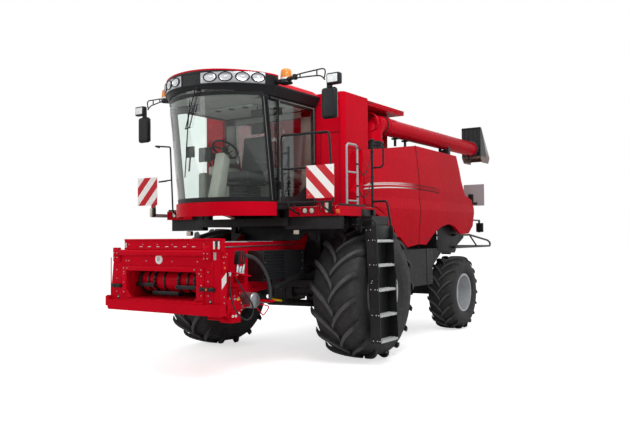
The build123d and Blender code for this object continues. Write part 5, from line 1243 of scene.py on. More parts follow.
class HARVESTER_OT_cab_fittings(bpy.types.Operator):
    """Makes the cab's trim, floor, headliner, steering column, console and screen"""

    bl_idname = "harvester.cab_fittings"
    bl_label = "Cab fittings"

    def execute(self, context):
        bm = bmesh.new()
        cuboid(bm, (-803, -486, 2222), (803, -471, 2776), 4)
        for s in (-1, 1):
            cuboid(bm, (min(s * 624, s * 803), -486, 2776), (max(s * 624, s * 803), -471, 3570), 4)
        cuboid(bm, (-803, -486, 3484), (803, -471, 3570), 4)
        cuboid(bm, (-800, -640, 2222), (-640, -488, 2900), 25, 4)
        cuboid(bm, (620, -560, 2222), (800, -488, 2700), 25, 4)
        settle("rear_trim", bm, "grey_moulded_trim", "chassis", 40)
        bm = bmesh.new()
        cuboid(bm, (-795, -1420, 2215.5), (795, -486, 2224), 2)
        swept_arc(bm, ((300, 2215.5), (905, 2215.5), (905, 2223), (300, 2223)), -1021, -57, 57, 24)
        settle("floor_mat", bm, "ribbed_floor_mat", "chassis", 40)
        bm = bmesh.new()
        cuboid(bm, (-800, -1500, 3596), (800, -486, 3614), 6, 3)
        swept_arc(bm, ((200, 3598), (935, 3598), (935, 3612), (200, 3612)), -1134.8, -56, 56, 32)
        cuboid(bm, (-420, -1350, 3560), (420, -700, 3600), 30, 5)
        cuboid(bm, (430, -1150, 3545), (760, -650, 3600), 25, 5)
        settle("headliner", bm, "pressed_headliner", "chassis", 40)
        bm = bmesh.new()
        for x in (-250, 0, 250):
            turned(bm, [(0, 46), (8, 44), (12, 36), (8, 34), (6, 0)], (x, -1300, 3561), -Z, 28)
        cuboid(bm, (470, -1100, 3538), (720, -980, 3548), 4)
        cuboid(bm, (-620, -1760, 3480), (-180, -1748, 3590), 5)
        settle("roof_vents", bm, "black_moulded_abs", "chassis", 40)

        bm = bmesh.new()
        plate(bm, ((-82, -1740, 2216), (-82, -1545, 2216), (-82, -1415, 2835), (-82, -1545, 2925)), (164, 0, 0), 22)
        cuboid(bm, (-110, -1760, 2216), (110, -1530, 2275), 20, 4)
        piece = settle("steering_column", bm, "pale_moulded_trim", "chassis", 45)
        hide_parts("cab_controls")
        centre, normal = Vector((0, -1440, 2975)), Vector((0, 0.5736, 0.8192))
        bm = bmesh.new()
        ring = [(16 * math.sin(a * math.tau / 10), 186 + 16 * math.cos(a * math.tau / 10)) for a in range(11)]
        turned(bm, ring, tuple(centre), normal, 48)
        turned(bm, [(-40, 0), (-40, 30), (-12, 52), (14, 50), (22, 34), (24, 0)], tuple(centre), normal, 32)
        across = X.copy()
        up = normal.cross(across)
        for turn in (90, 210, 330):
            way = across * math.cos(math.radians(turn)) + up * math.sin(math.radians(turn))
            bar(bm, tuple(centre + way * 30), tuple(centre + way * 176), 15, 10, tip=12)
        bar(bm, (0, -1478, 2830), tuple(centre - normal * 30), 36, 24, ease=4)
        for s in (-1, 1):
            bar(bm, (s * 40, -1470, 2900), (s * 190, -1500, 2935), 7, 10, ease=2)
        cuboid(bm, (-190, -1700, 2240), (-110, -1560, 2256), 5)
        cuboid(bm, (110, -1700, 2240), (190, -1560, 2256), 5)
        settle("steering_wheel", bm, "black_moulded_abs", "chassis", 45)
        bm = bmesh.new()
        cuboid(bm, (-425, -1330, 2640), (-288, -760, 2772), 34, 5)
        cuboid(bm, (-402, -1000, 2222), (-308, -850, 2650), 12, 3)
        cuboid(bm, (-700, -1250, 2222), (-560, -640, 2700), 40, 5)
        settle("side_console", bm, "pale_moulded_trim", "chassis", 45)
        bm = bmesh.new()
        cuboid(bm, (-522, -1424, 2830), (-278, -1386, 3038), 16, 4)
        bar(bm, (-382, -1300, 2760), (-400, -1395, 2915), 15, 16)
        bar(bm, (-356, -1270, 2765), (-356, -1290, 2870), 13, 16)
        cuboid(bm, (-384, -1330, 2865), (-328, -1260, 2960), 24, 5)
        for k in range(4):
            bar(bm, (-340 - (k % 2) * 40, -1130 + k * 40, 2768), (-340 - (k % 2) * 40, -1130 + k * 40, 2786), 11, 12,
                ease=3)
        # second screen on the right pillar, the inside mirror and the radio's handset
        cuboid(bm, (-700, -1500, 2900), (-540, -1470, 3060), 10, 3)
        bar(bm, (-640, -1490, 2700), (-620, -1485, 2910), 12, 12)
        cuboid(bm, (300, -1240, 3440), (520, -1215, 3520), 12, 4)
        bar(bm, (410, -1228, 3515), (410, -1228, 3570), 8, 12)
        settle("cab_screens", bm, "black_moulded_abs", "chassis", 45)
        bm = bmesh.new()
        cuboid(bm, (-508, -1386.5, 2846), (-292, -1384, 3022), 2)
        cuboid(bm, (-690, -1470.5, 2912), (-550, -1468, 3048), 2)
        settle("screen_glass", bm, "dark_display_glass", "chassis", 45)

        # door: outside handle, hinges, inner grab bar and its pale seal
        bm = bmesh.new()
        cuboid(bm, (878, -560, 2640), (892, -520, 2800), 5)
        cuboid(bm, (890, -552, 2660), (908, -532, 2780), 7, 3)
        for z in (2380, 3380):
            bar(bm, (892, -1364, z), (892, -1364, z + 110), 12, 20, ease=3)
            cuboid(bm, (879, -1366, z + 10), (889, -1290, z + 100), 3)
        cuboid(bm, (826, -1300, 2700), (850, -1276, 2724), 4)
        cuboid(bm, (826, -1300, 3180), (850, -1276, 3204), 4)
        bar(bm, (828, -1288, 2712), (828, -1288, 3192), 11, 16)
        cuboid(bm, (838, -1330, 2195), (851, -500, 2290), 6)
        settle("door_handles", bm, "black_moulded_abs", "cab_door", 40)
        bm = bmesh.new()
        for y in (-1346, -520):
            cuboid(bm, (880, y - 4, 2215), (883.5, y + 4, 3588), 1.5)
        cuboid(bm, (880, -1346, 3580), (883.5, -520, 3588), 1.5)
        settle("door_seal_lines", bm, "grey_moulded_trim", "cab_door", 40)
        return {"FINISHED"}


class HARVESTER_OT_mirrors(bpy.types.Operator):
    """Makes the mirrors on their jointed arms, the arm lamps, and the beacons on their cones"""

    bl_idname = "harvester.mirrors"
    bl_label = "Mirrors and beacons"

    def execute(self, context):
        arms, heads_, glass, lamps, cones, rings, domes = (bmesh.new() for _ in range(7))
        tubes = []
        for s, x, y in ((1, 1780, -1500), (-1, 1735, -1330)):
            bar(arms, (s * 931, -1480, 3795), (s * 1010, -1480, 3795), 34, 20, tip=27, ease=3)
            bar(arms, (s * 1000, -1480, 3795), (s * 1240, y if s > 0 else -1405, 3812), 26, 20, ease=3)
            cuboid(arms, (min(s * 1225, s * 1275), (y if s > 0 else -1398) - 30, 3782),
                   (max(s * 1225, s * 1275), (y if s > 0 else -1398) + 30, 3850), 8, 3)
            bar(arms, (s * 931, -1470, 3772), (s * 1150, -1478, 3788), 15, 14)
            ya = y if s > 0 else -1398
            tubes += [((s * 1262, ya, 3836), (s * 1300, ya, 3846), (s * (x - 190), y, 3862), (s * (x - 70), y, 3868),
                       (s * (x - 60), y, 3800), (s * (x - 80), y, 3742)),
                      ((s * 1262, ya, 3798), (s * 1300, ya, 3800), (s * (x - 200), y, 3790), (s * (x - 110), y, 3775),
                       (s * (x - 70), y, 3720)),
                      ((s * 1330, ya, 3848), (s * 1330, ya, 3800)),
                      ((s * (x - 190), y, 3862), (s * (x - 190), y, 3790))]
            cuboid(arms, (min(s * (x - 36), s * (x + 36)), y - 20, 3606),
                   (max(s * (x - 36), s * (x + 36)), y + 20, 3700), 10, 3)
            cuboid(heads_, (min(s * (x - 110), s * (x + 110)), y - 45, 3220),
                   (max(s * (x - 110), s * (x + 110)), y + 38, 3612), 40, 7)
            cuboid(glass, (min(s * (x - 92), s * (x + 92)), y + 37, 3242),
                   (max(s * (x - 92), s * (x + 92)), y + 41, 3590), 2)
            low, high = sorted((s * (x - 22), s * (x + 168)))
            cuboid(arms, (low, y - 52, 3642), (high, y + 38, 3786), 22, 5)
            cuboid(lamps, (low + 22, y - 59, 3664), (high - 22, y - 50, 3764), 6, 3)
            middle = (s * 1076 - (45 if s < 0 else 0), -1455, 3760)
            turned(cones, [(0, 88), (10, 88), (22, 78), (48, 68), (48, 0)], middle, Z, 32)
            cuboid(cones, (min(s * 1010, s * 1142), -1500, 3748), (max(s * 1010, s * 1142), -1410, 3764), 8, 3)
            turned(rings, [(47, 0), (47, 72), (52, 78), (66, 79), (71, 74), (71, 0)], middle, Z, 40)
            turned(domes, [(70, 0), (70, 74), (82, 76), (160, 71), (180, 62), (190, 42), (194, 0)], middle, Z, 40)
        piece = settle("mirror_arms", arms, "black_moulded_abs", "chassis", 40)
        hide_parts("mirrors")
        bent("mirror_frames", tubes, 9, "black_powder_coat", "chassis")
        settle("mirror_heads", heads_, "black_moulded_abs", "chassis", 40)
        settle("mirror_glass", glass, "hard_chrome", "chassis", 40)
        settle("arm_lamp_lenses", lamps, "white_lamp_lens", "chassis", 40)
        settle("beacon_cones", cones, "black_moulded_abs", "chassis", 40)
        settle("beacon_rings", rings, "white_enamel", "chassis", 40)
        piece = settle("beacon_domes", domes, "amber_polycarbonate", "chassis", 50)
        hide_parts("beacons")
        return {"FINISHED"}


# ---------------------------------------------------------------- outside the cab


def chain(bm, start, end, sag, wire):
    """A link chain hung between two places, its links turned a quarter each."""
    a, b = Vector(start), Vector(end)
    pitch = wire * 5
    count = max(4, int((b - a).length * (1 + 8 / 3 * (sag / max((b - a).length, 1)) ** 2) / pitch))
    spots = [a.lerp(b, i / count) + Vector((0, 0,
                                            -4 * sag * (i / count) * (1 - i / count))) for i in range(count + 1)]
    for i, (one, two) in enumerate(zip(spots, spots[1:])):
        before = set(bm.verts)
        way = (two - one).normalized()
        turned(bm, [(-wire, 1.6 * wire), (0, 1.1 * wire), (wire, 1.6 * wire), (0, 2.1 * wire), (-wire, 1.6 * wire)],
               (0, SHIFT * 1000, 0), X, 8)
        stretch = Matrix.Diagonal((0.8, 1, 1.7, 1))
        twist = Matrix.Rotation(math.radians(90 * (i % 2)), 4, "Z")
        aim = way.to_track_quat("Z", "X").to_matrix().to_4x4()
        moved(bm, before, Matrix.Translation(at(*((one + two) / 2))) @ aim @ twist @ stretch)


class HARVESTER_OT_platforms(bpy.types.Operator):
    """Adds lamps, reflectors, treads, chains and brackets to platforms and rails"""

    bl_idname = "harvester.platforms"
    bl_label = "Platforms and rails"

    def execute(self, context):
        wire = context.scene.harvester_sizes.chain * 1000
        shells, lenses, pads, zinc = bmesh.new(), bmesh.new(), bmesh.new(), bmesh.new()
        for s in (-1, 1):
            for x in (1156, 1267):
                turned(shells, [(-2, 44), (5, 44), (8, 40), (5, 36), (-2, 36)], (s * x, -1163, 2094), -Y, 28)
                turned(lenses, [(0, 37), (5, 35), (9, 24), (10, 0)], (s * x, -1163, 2094), -Y, 28)
        for x, y in ((1534, -1166), (-1472, -1400)):
            cuboid(shells, (x + 4, y - 42, 2058), (x + 66, y + 4, 2204), 18, 4)
            cuboid(lenses, (x - 26, y - 62, 2062), (x + 24, y - 14, 2200), 22, 5)
            cuboid(shells, (x - 20, y - 40, 2080), (x + 40, y - 8, 2180), 10, 3)
        for x in (945, -1060):
            cuboid(shells, (x - 50, -1066, 1776), (x + 50, -1014, 1846), 12, 3)
            cuboid(lenses, (x - 44, -1076, 1782), (x + 44, -1062, 1840), 8, 3)
            bar(shells, (x, -1040, 1840), (x, -1040, 1880), 8, 12)
        for x, y in ((1000, -1176), (1408, -1176)):
            bar(shells, (x, y + 14, 2176), (x, y - 22, 2176), 8, 10, ease=2)
            bar(shells, (x, y - 18, 2178), (x + 8, y - 26, 2096), 8, 10, ease=2)
            bar(shells, (x + 6, y - 26, 2100), (x + 30, y - 28, 2078), 8, 10, ease=2)
        # perforated tread laid on both decks, with its folded kerbs
        for low, high in (((900, -1140, 2150), (1660, -446, 2154)), ((-1400, -1140, 2150), (-900, -446, 2154)),
                          ((1330, -436, 2150), (1610, -140, 2154))):
            cuboid(pads, low, high, 1)
        cuboid(shells, (1664, -1140, 2150), (1678, -446, 2178), 4)
        cuboid(shells, (-1418, -1140, 2150), (-1404, -446, 2178), 4)
        # two bolted boxes under the landing
        for low, high in ((1350, 1518), (1574, 1708)):
            cuboid(shells, (low, -652, 1880), (high, -430, 2008), 6)
            cuboid(shells, (low + 20, -560, 2006), (high - 20, -440, 2122), 4)
            heads(zinc, [(x, -652, z) for x in (low + 24, (low + high) / 2 + 22) for z in (1906, 1980)], (0, -1, 0),
                  17, 6)
        settle("platform_shells", shells, "black_moulded_abs", "chassis", 40)
        settle("platform_lenses", lenses, "cream_lamp_lens", "chassis", 50)
        settle("platform_treads", pads, "galvanised_steel", "chassis", 40)
        bm = bmesh.new()
        cuboid(bm, (1648, -1177, 2048), (1702, -1162, 2102), 6, 3)
        cuboid(bm, (1679, -520, 2050), (1686, -470, 2110), 3)
        settle("side_reflectors", bm, "orange_reflector", "chassis", 40)
        heads(zinc, [(x, -1163, 2130) for x in (900, 1080, 1420, 1640, -1100, -1300)], (0, -1, 0), 12, 4)
        heads(zinc, [(x, -1418, z) for x in (1400, 1740) for z in (2290, 2610)], (0, -1, 0), 14, 4)
        heads(zinc, [(-x, -1418, z) for x in (1412, 1752) for z in (2290, 2610)], (0, -1, 0), 14, 4)
        heads(zinc, [(s * x, 4503, z) for s in (-1, 1) for x in (1160, 1500) for z in (2380, 2700)], (0, 1, 0), 14, 4)
        settle("platform_bolts", zinc, "zinc_plated_steel", "chassis", 30)

        bm = bmesh.new()
        chain(bm, (1600, -520, 2950), (1600, -526, 2290), 0, wire)
        chain(bm, (1600, -520, 2740), (1600, -128, 2965), 240, wire)
        chain(bm, (1600, -520, 2440), (1600, -128, 2580), 215, wire)
        settle("gate_chains", bm, "oiled_chain_steel", "chassis", 60)
        bm = bmesh.new()
        turned(bm, [(-22, 0), (-18, 14), (-8, 24), (4, 26), (14, 22), (22, 12), (25, 0)], (1600, -111, 3118), Z, 24)
        for z in (2950, 2580):
            turned(bm, [(-14, 18), (-14, 26), (14, 26), (14, 18)], (1600, -111, z), Z, 24)
        for z in (2965, 2740, 2440, 2290):
            turned(bm, [(-10, 15), (-10, 21), (10, 21), (10, 15)], (1600, -530, z), Z, 20)
        # clamps of the boards on their rails, and the board posts
        for x in (1420, 1690):
            cuboid(bm, (x - 22, -1416, 2560), (x + 22, -1384, 2600), 4)
        for s in (-1, 1):
            cuboid(bm, (min(s * 1225, s * 1320), 4455, 2395), (max(s * 1225, s * 1320), 4498, 2560), 6, 3)
            cuboid(bm, (min(s * 1240, s * 1400), 4470, 2360), (max(s * 1240, s * 1400), 4498, 2395), 5)
        settle("rail_fittings", bm, "black_powder_coat", "chassis", 40)

        # ladder: grip tube, treads with raised holes, rivets and the top plate
        bent("ladder_grip", [((1722, -655, 1800), (1722, -655, 1955), (1790, -655, 1965), (1925, -655, 1965),
                              (1950, -655, 1900),
                              (1960, -655, 1400), (1983, -655, 1290), (1980, -655, 1220), (1930, -655, 1150))], 13,
             "black_powder_coat", "chassis")
        treads, rivets = bmesh.new(), bmesh.new()
        for z in (350, 690, 1030, 1360, 1690):
            x = 1850 - 65 * (z - 330) / 1510
            cuboid(treads, (x + 14, -626, z), (x + 146, -142, z + 5), 2)
            cuboid(treads, (x + 140, -626, z - 26), (x + 148, -142, z + 5), 2)
            for i in range(9):
                for j in range(2):
                    turned(treads, [(0, 19), (6, 13), (4, 9), (0, 8)], (x + 48 + j * 56, -600 + i * 54, z + 4.5), Z,
                           10)
            heads(rivets, [(x + off, -640, z + 4) for off in (36, 98, 136)], (0, -1, 0), 15, 5)
            heads(rivets, [(x + off, -128, z + 4) for off in (36, 98)], (0, 1, 0), 15, 5)
            cuboid(rivets, (x + 12, -420, z + 30), (x + 13, -400, z + 50), 0)
        heads(rivets, [(1790 + k, -640, 1830) for k in (8, 70)], (0, -1, 0), 15, 5)
        heads(rivets, [(1878, -640, 1150), (1866, -640, 1120)], (0, -1, 0), 13, 5)
        settle("ladder_treads", treads, "pale_galvanised_tread", "chassis", 40)
        settle("ladder_rivets", rivets, "white_enamel", "chassis", 30)
        bm = bmesh.new()
        for y in (-644, -128):
            plate(bm, ((1775, y, 1900), (1845, y, 1906), (1930, y, 1880), (1940, y, 1700), (1770, y, 1700)),
                  (0, 4, 0), 1)
        bar(bm, (1700, -600, 1990), (1700, -170, 1990), 16, 14)
        cuboid(bm, (1880, -600, 1720), (1900, -170, 1890), 6)
        settle("ladder_brackets", bm, "black_powder_coat", "chassis", 40)
        return {"FINISHED"}


# ---------------------------------------------------------------- panels, tank and auger


class HARVESTER_OT_bodywork(bpy.types.Operator):
    """Adds seams, latches, hinges, vents and bolts to the tank, panels, deck and rear"""

    bl_idname = "harvester.bodywork"
    bl_label = "Bodywork"

    def execute(self, context):
        for side, s in SIDES:
            for part, rows in (("front", ((60, 1760), (900, 1640), (1500, 1590))),
                               ("rear", ((2100, 1640), (3000, 1960), (3900, 1800)))):
                bm = bmesh.new()
                for y, z in rows:
                    # x of the skin's outside near its lower edge
                    x = 1400 + 50 * (z - 1540) / 640
                    before = set(bm.verts)
                    cuboid(bm, (x - 1, y - 36, z + 46), (x + 5, y + 36, z + 84), 8, 3)
                    bar(bm, (x, y, z + 65), (x + 9, y, z + 65), 13, 16, ease=2)
                    if s < 0:
                        moved(bm, before, Matrix.Diagonal((-1, 1, 1, 1)))
                settle(f"panel_latches_{part}_{side}", bm, "black_moulded_abs", f"side_panel_{part}_{side}",
                       40)
        skin = ((1360, 3262), (1402, 2965), (1440, 2520), (1432, 2340), (1450, 2180), (1400, 1540))
        # dark strip over the gap between the front and rear side panels: painted shade of the gap
        for side, s in SIDES:
            bm = bmesh.new()
            for (x1, z1), (x2, z2) in zip(skin, skin[1:]):
                plate(bm, [(s * x, y, z) for x, y, z in ((x1 + 1, 1782, z1), (x1 + 1, 1797, z1), (x2 + 1, 1797, z2),
                                                         (x2 + 1, 1782, z2))], (s * 2, 0, 0), 0)
            settle(f"panel_gap_shade_{side}", bm, "seam_sealant", f"side_panel_front_{side}", 30)
        bm = bmesh.new()
        for s in (-1, 1):
            plate(bm, ((s * 1240, 2900, 1480), (s * 1240, 2900, 2300), (s * 1240, 4130, 2300), (s * 1240, 4130, 1700),
                       (s * 1240, 3800, 1560), (s * 1240, 3700, 1420), (s * 1240, 3200, 1420)), (s * 8, 0, 0), 2)
        cuboid(bm, (-1232, 2896, 1520), (1232, 2904, 2300), 2)
        settle("arch_liners", bm, "satin_chassis_black", "chassis", 40)
        bm = bmesh.new()
        hub = (-1300, 2640, 2740)
        turned(bm, [(58, 0), (58, 60), (46, 78), (20, 84), (20, 0)], hub, -X, 32)
        for k in range(12):
            turn = k * math.tau / 12
            y, z = math.cos(turn), math.sin(turn)
            bar(bm, (-1352, hub[1] + 60 * y, hub[2] + 60 * z), (-1352, hub[1] + 352 * y, hub[2] + 352 * z), 5, 6)
        turned(bm, [(48, 350), (58, 352), (58, 366), (48, 368)], hub, -X, 64)
        settle("screen_spokes", bm, "machined_steel", "air_screen", 40)
        bm = bmesh.new()
        # tank: seams down its corners, a cross seam on its front, rivets along its rim
        for s in (-1, 1):
            for y in (-300, -205):
                cuboid(bm, (min(s * 1314, s * 1317), y - 3, 2160), (max(s * 1314, s * 1317), y + 3, 3020), 1)
            cuboid(bm, (min(s * 1314, s * 1317), -340, 3016), (max(s * 1314, s * 1317), 270, 3022), 1)
            cuboid(bm, (min(s * 900, s * 1250), -424, 3232), (max(s * 900, s * 1250), -419, 3241), 1)
            cuboid(bm, (min(s * 1246, s * 1252), -423, 2160), (max(s * 1246, s * 1252), -419, 3780), 1)
            cuboid(bm, (min(s * 930, s * 936), -423, 2160), (max(s * 930, s * 936), -419, 3232), 1)
        cuboid(bm, (-1250, -423, 3640), (1250, -419, 3646), 1)
        settle("tank_seams", bm, "seam_sealant", "chassis", 30)
        bm = bmesh.new()
        heads(bm, [(s * x, -420, z) for s in (-1, 1) for x in (1000, 1200) for z in (2190,)], (0, -1, 0), 14, 4)
        heads(bm, [(x, y, 3735) for x in (-1240, -900, -500) for y in (1440,)], (0, 0, 1), 14, 4)
        heads(bm, [(s * 1308, y, z) for s in (-1, 1) for y in (3520, 3900) for z in (2050, 2300)], (s, 0, 0), 14, 5)
        settle("tank_bolts", bm, "zinc_plated_steel", "chassis", 30)
        for side, s in SIDES:
            bm = bmesh.new()
            for y in (420, 700, 980, 1260):
                cuboid(bm, (min(s * 60, s * 1260), y - 22, 3784), (max(s * 60, s * 1260), y + 22, 3794), 4, 2)
            cuboid(bm, (min(s * 6, s * 22), 330, 3784), (max(s * 6, s * 22), 1480, 3798), 4, 2)
            for y in (326, 1472):
                cuboid(bm, (min(s * 20, s * 1290), y, 3784), (max(s * 20, s * 1290), y + 12, 3796), 4, 2)
            settle(f"lid_ribs_{side}", bm, "baked_red_enamel", f"tank_lid_{side}", 40)
            bm = bmesh.new()
            for y in (420, 1380):
                bar(bm, (s * 1300, y - 60, 3762), (s * 1300, y + 60, 3762), 13, 16, ease=2)
            cuboid(bm, (min(s * 30, s * 110), 850, 3784), (max(s * 30, s * 110), 950, 3806), 6, 3)
            settle(f"lid_hinges_{side}", bm, "black_powder_coat", f"tank_lid_{side}", 40)
        bm = bmesh.new()
        # deck: grille over the engine, exhaust stack, filler caps and the rear louvres
        for k in range(15):
            y = 2190 + k * 72
            cuboid(bm, (-420, y, 3244), (420, y + 36, 3256), 4, 1)
        cuboid(bm, (-460, 2140, 3236), (460, 2176, 3258), 6)
        cuboid(bm, (-460, 3224, 3236), (460, 3260, 3258), 6)
        for k in range(9):
            z = 2560 + k * 62
            y = 3600 - (z - 2560) * 0.22
            cuboid(bm, (-700, y + 16, z - 14), (700, y + 36, z + 12), 4, 1)
        settle("deck_grilles", bm, "black_powder_coat", "chassis", 40)
        bm = bmesh.new()
        turned(bm, [(0, 96), (10, 96), (10, 62), (230, 62), (240, 58), (240, 50), (60, 50), (60, 0)],
               (-820, 2350, 3204), Z, 32)
        settle("exhaust_stack", bm, "machined_steel", "chassis", 40)
        bm = bmesh.new()
        for x, y in ((700, 1750), (-1100, 1800)):
            turned(bm, [(0, 60), (26, 60), (32, 54), (32, 20), (40, 16), (40, 0)], (x, y, 3205), Z, 28)
        settle("filler_caps", bm, "black_moulded_abs", "chassis", 40)
        bm = bmesh.new()
        for s in (-1, 1):
            for k in range(5):
                cuboid(bm, (min(s * 1314, s * 1324), 3560 + k * 90, 2120),
                       (max(s * 1314, s * 1324), 3600 + k * 90, 2330), 5, 2)
        cuboid(bm, (-1200, 4128, 2150), (1200, 4146, 2190), 6, 3)
        cuboid(bm, (-1100, 4140, 1950), (1100, 4152, 1975), 5, 2)
        settle("hood_pressings", bm, "baked_red_enamel", "chassis", 40)

        bm = bmesh.new()
        # chopper: knives' slots, side plates and vanes under its tail, bolts and a deflector
        for s in (-1, 1):
            plate(bm, ((s * 590, 3960, 1480), (s * 590, 3780, 1900), (s * 590, 4040, 1740), (s * 590, 4640, 1540),
                       (s * 590, 4600, 1480)), (s * 8, 0, 0), 2)
            for k in range(6):
                x = s * (80 + k * 92)
                plate(bm, ((x - 4, 4640, 1452), (x - 4, 4700, 1558), (x - 4, 4880, 1500), (x - 4, 4900, 1470)),
                      (8, 0, 0), 1)
        cuboid(bm, (-596, 4640, 1548), (596, 4720, 1566), 5)
        settle("chopper_vanes", bm, "satin_chassis_black", "chassis", 40)
        bm = bmesh.new()
        for s in (-1, 1):
            heads(bm, [(s * 598, y, z) for y, z in ((3990, 1510), (4200, 1620), (4500, 1540), (3860, 1800),
                                                    (4050, 1700))], (s, 0, 0), 20, 7)
            heads(bm, [(s * 760, y, z) for y in (500, 1100, 1700, 2300) for z in (900, 1500, 2000)], (s, 0, 0), 20, 7)
            heads(bm, [(s * 845.6, y, 1130) for y in range(-250, 2600, 280)], (s, 0, 0), 22, 8)
            heads(bm, [(s * 1300, y, z) for y in (1220, 2520) for z in (960, 1460)], (s, 0, 0), 16, 5)
        settle("chassis_bolts", bm, "zinc_plated_steel", "chassis", 30)
        bm = bmesh.new()
        plate(bm, ((598, 4175, 1566), (598, 4250, 1540), (598, 4225, 1478), (598, 4150, 1504)), (2, 0, 0))
        settle("chopper_blank_tag", bm, "blank_label_yellow", "chassis", 30)
        # tail lamps
        lenses, ambers, shells = bmesh.new(), bmesh.new(), bmesh.new()
        for s in (-1, 1):
            low, high = sorted((s * 1232, s * 1368))
            cuboid(shells, (low - 2, 4848, 1808), (high + 2, 4888, 1992), 8, 3)
            cuboid(lenses, (low + 8, 4886, 1900), (high - 8, 4896, 1984), 5, 3)
            cuboid(ambers, (low + 8, 4886, 1818), (high - 8, 4896, 1892), 5, 3)
            turned(lenses, [(0, 36), (8, 34), (11, 0)], (s * 1240, 4129, 2080), Y, 24)
        settle("tail_lamp_shells", shells, "black_moulded_abs", "chassis", 40)
        settle("tail_lamp_red", lenses, "red_lamp_lens", "chassis", 40)
        settle("tail_lamp_amber", ambers, "amber_polycarbonate", "chassis", 40)
        # plain number plate holder
        bm = bmesh.new()
        cuboid(bm, (-260, 4146, 2020), (260, 4154, 2132), 6, 3)
        settle("blank_number_plate", bm, "white_enamel", "chassis", 40)

        # fuel tank straps and cap
        bm = bmesh.new()
        for y in (1400, 2340):
            cuboid(bm, (848, y - 24, 894), (1306, y + 24, 902), 2)
            cuboid(bm, (1298, y - 24, 894), (1306, y + 24, 1524), 3)
        cuboid(bm, (1180, 1560, 1518), (1280, 1660, 1530), 6)
        turned(bm, [(0, 45), (30, 45), (36, 38), (36, 0)], (1230, 1610, 1528), Z, 24)
        settle("fuel_tank_straps", bm, "black_powder_coat", "chassis", 40)
        # axles: final drive covers, steering cylinder glands, king pin caps
        bm = bmesh.new()
        for s in (-1, 1):
            turned(bm, [(0, 252), (18, 256), (36, 250), (36, 90), (0, 80)], (s * 1150, 0, 945), X * s, 48)
            before = set(bm.verts)
            bar(bm, (s * 1184, 0, 945 + 226), (s * 1196, 0, 945 + 226), 12, 6)
            around(bm, before, (s * 1184, 0, 945), X, 14)
            turned(bm, [(0, 118), (30, 124), (60, 118)], (s * 790, 0, 945), X * s, 40)
            for x in (230, 258):
                turned(bm, [(0, 50), (0, 56), (22, 56), (22, 50)], (s * x, 3808, 626), X * s, 28)
        heads(bm, [(s * x, y, 1199) for s in (-1, 1) for x in (790,) for y in range(-200, 2600, 350)], (0, 0, 1), 18,
              6)
        settle("axle_covers", bm, "satin_chassis_black", "chassis", 40)
        return {"FINISHED"}


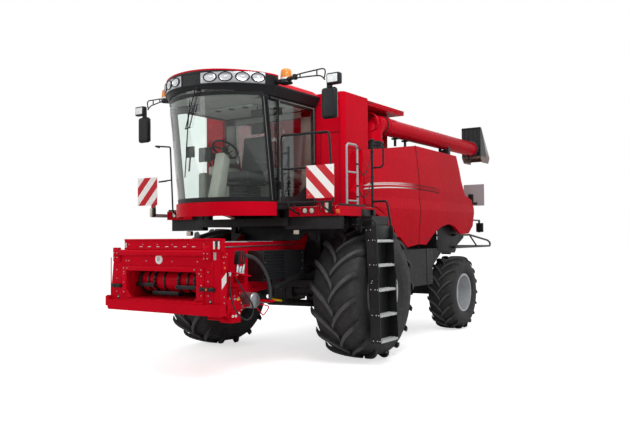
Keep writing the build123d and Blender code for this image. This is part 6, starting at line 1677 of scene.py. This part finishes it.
class HARVESTER_OT_auger(bpy.types.Operator):
    """Adds joints, gasket, boot, brackets and flap edges to the unloading auger"""

    bl_idname = "harvester.auger"
    bl_label = "Unloading auger"

    def execute(self, context):
        x, z = 1180, 3495
        bm = bmesh.new()
        for y in (2440, 3120, 3800):
            turned(bm, [(-2, 139), (-2, 140.8), (2, 140.8), (2, 139)], (x, y, z), Y, 64)
        settle("auger_joint_lines", bm, "seam_sealant", "auger", 30)
        bm = bmesh.new()
        turned(bm, [(0, 149), (0, 158), (16, 158), (16, 149)], (x, 892, z), Y, 48)
        before = set(bm.verts)
        cuboid(bm, (x - 12, 886, z + 150), (x + 12, 914, z + 166), 3, 1)
        around(bm, before, (x, 900, z), Y, 26)
        # boot ring at the spout, with its band
        turned(bm, [(0, 140), (0, 151), (10, 156), (58, 156), (64, 151), (64, 140)], (x, 4722, z), Y, 48)
        settle("auger_gasket", bm, "boot_rubber", "auger", 40)
        bm = bmesh.new()
        turned(bm, [(0, 156), (0, 159), (12, 159), (12, 156)], (x, 4740, z), Y, 48)
        for k in range(10):
            turn = math.radians(k * 36 + 12)
            bar(bm, (x + math.cos(turn) * 151, 1008, z + math.sin(turn) * 151),
                (x + math.cos(turn) * 151, 1052, z + math.sin(turn) * 151), 9, 6)
        settle("auger_bolts", bm, "zinc_plated_steel", "auger", 30)
        bm = bmesh.new()
        # hinge bracket on the elbow, stiffener over the tube, eye near the end
        cuboid(bm, (x + 108, 665, 3440), (x + 152, 715, 3560), 8, 3)
        cuboid(bm, (x + 142, 672, 3400), (x + 154, 700, 3580), 5)
        cuboid(bm, (x - 14, 1052, z + 136), (x + 14, 1500, z + 150), 5)
        for y in (2440, 3120):
            cuboid(bm, (x - 20, y - 26, z + 134), (x + 20, y + 26, z + 148), 5)
        turned(bm, [(-160, 146), (-160, 157), (-130, 160), (-100, 157), (-100, 146)], (x, 690, z), Y, 48)
        settle("auger_brackets", bm, "baked_red_enamel", "auger", 40)
        bm = bmesh.new()
        # spout: rolled edges, ribs and the hook under its end
        for s in (-206, 184):
            plate(bm, ((x + s, 4786, 3320), (x + s, 4786, 3934), (x + s, 4812, 3934), (x + s, 4812, 3320)), (8, 0, 0),
                  2)
        cuboid(bm, (x - 206, 4784, 3900), (x + 192, 4800, 3940), 5)
        cuboid(bm, (x - 206, 4784, 3640), (x + 192, 4792, 3664), 4)
        for k in range(4):
            cuboid(bm, (x - 150 + k * 90, 4783, 3680), (x - 138 + k * 90, 4791, 3900), 3)
        cuboid(bm, (x - 20, 4600, 3326), (x + 20, 4700, 3352), 5)
        cuboid(bm, (x - 12, 4620, 3260), (x + 12, 4650, 3336), 5)
        cuboid(bm, (x - 12, 4620, 3252), (x + 12, 4700, 3270), 5)
        settle("spout_edges", bm, "black_moulded_abs", "auger", 40)
        bm = bmesh.new()
        # cradle on the deck, hoses' clamp and the neck's flange bolts
        for s in (-1, 1):
            cuboid(bm, (x + s * 88 - 12, 3372, 3205), (x + s * 88 + 12, 3468, 3420), 6)
        cuboid(bm, (x - 100, 3372, 3204), (x + 100, 3468, 3222), 5)
        for y in (1360, 1720):
            bar(bm, (x + 30, y, 3210), (x + 30, y, 3340), 22, 12)
            cuboid(bm, (x - 30, y - 26, 3318), (x + 90, y + 26, 3346), 8)
        settle("auger_cradle", bm, "black_powder_coat", "chassis", 40)
        return {"FINISHED"}


OPERATORS = (HARVESTER_OT_stage, HARVESTER_OT_hoses, HARVESTER_OT_finishes, HARVESTER_OT_tyres, HARVESTER_OT_wheels,
             HARVESTER_OT_feeder_face, HARVESTER_OT_drum, HARVESTER_OT_header_drive, HARVESTER_OT_visor,
             HARVESTER_OT_seats, HARVESTER_OT_cab_fittings, HARVESTER_OT_mirrors, HARVESTER_OT_platforms,
             HARVESTER_OT_bodywork, HARVESTER_OT_auger)


class HARVESTER_PT_sidebar(bpy.types.Panel):
    """Lists the harvester's pieces and the sizes and colours behind them"""

    bl_label = "Harvester"
    bl_idname = "HARVESTER_PT_sidebar"
    bl_space_type = "VIEW_3D"
    bl_region_type = "UI"
    bl_category = "Harvester"

    def draw(self, context):
        for group in (context.scene.harvester_sizes, context.scene.harvester_colours):
            for name in group.__annotations__:
                self.layout.prop(group, name)
        for operator in OPERATORS:
            self.layout.operator(operator.bl_idname)


CLASSES = (HarvesterSizes, HarvesterColours, *OPERATORS, HARVESTER_PT_sidebar)


def register():
    for cls in CLASSES:
        bpy.utils.register_class(cls)
    bpy.types.Scene.harvester_sizes = bpy.props.PointerProperty(type=HarvesterSizes)
    bpy.types.Scene.harvester_colours = bpy.props.PointerProperty(type=HarvesterColours)


def unregister():
    del bpy.types.Scene.harvester_colours
    del bpy.types.Scene.harvester_sizes
    for cls in reversed(CLASSES):
        bpy.utils.unregister_class(cls)


def main():
    register()
    random.seed(7)
    for operator in OPERATORS:
        group, name = operator.bl_idname.split(".")
        getattr(getattr(bpy.ops, group), name)()


if __name__ == "__main__":
    main()
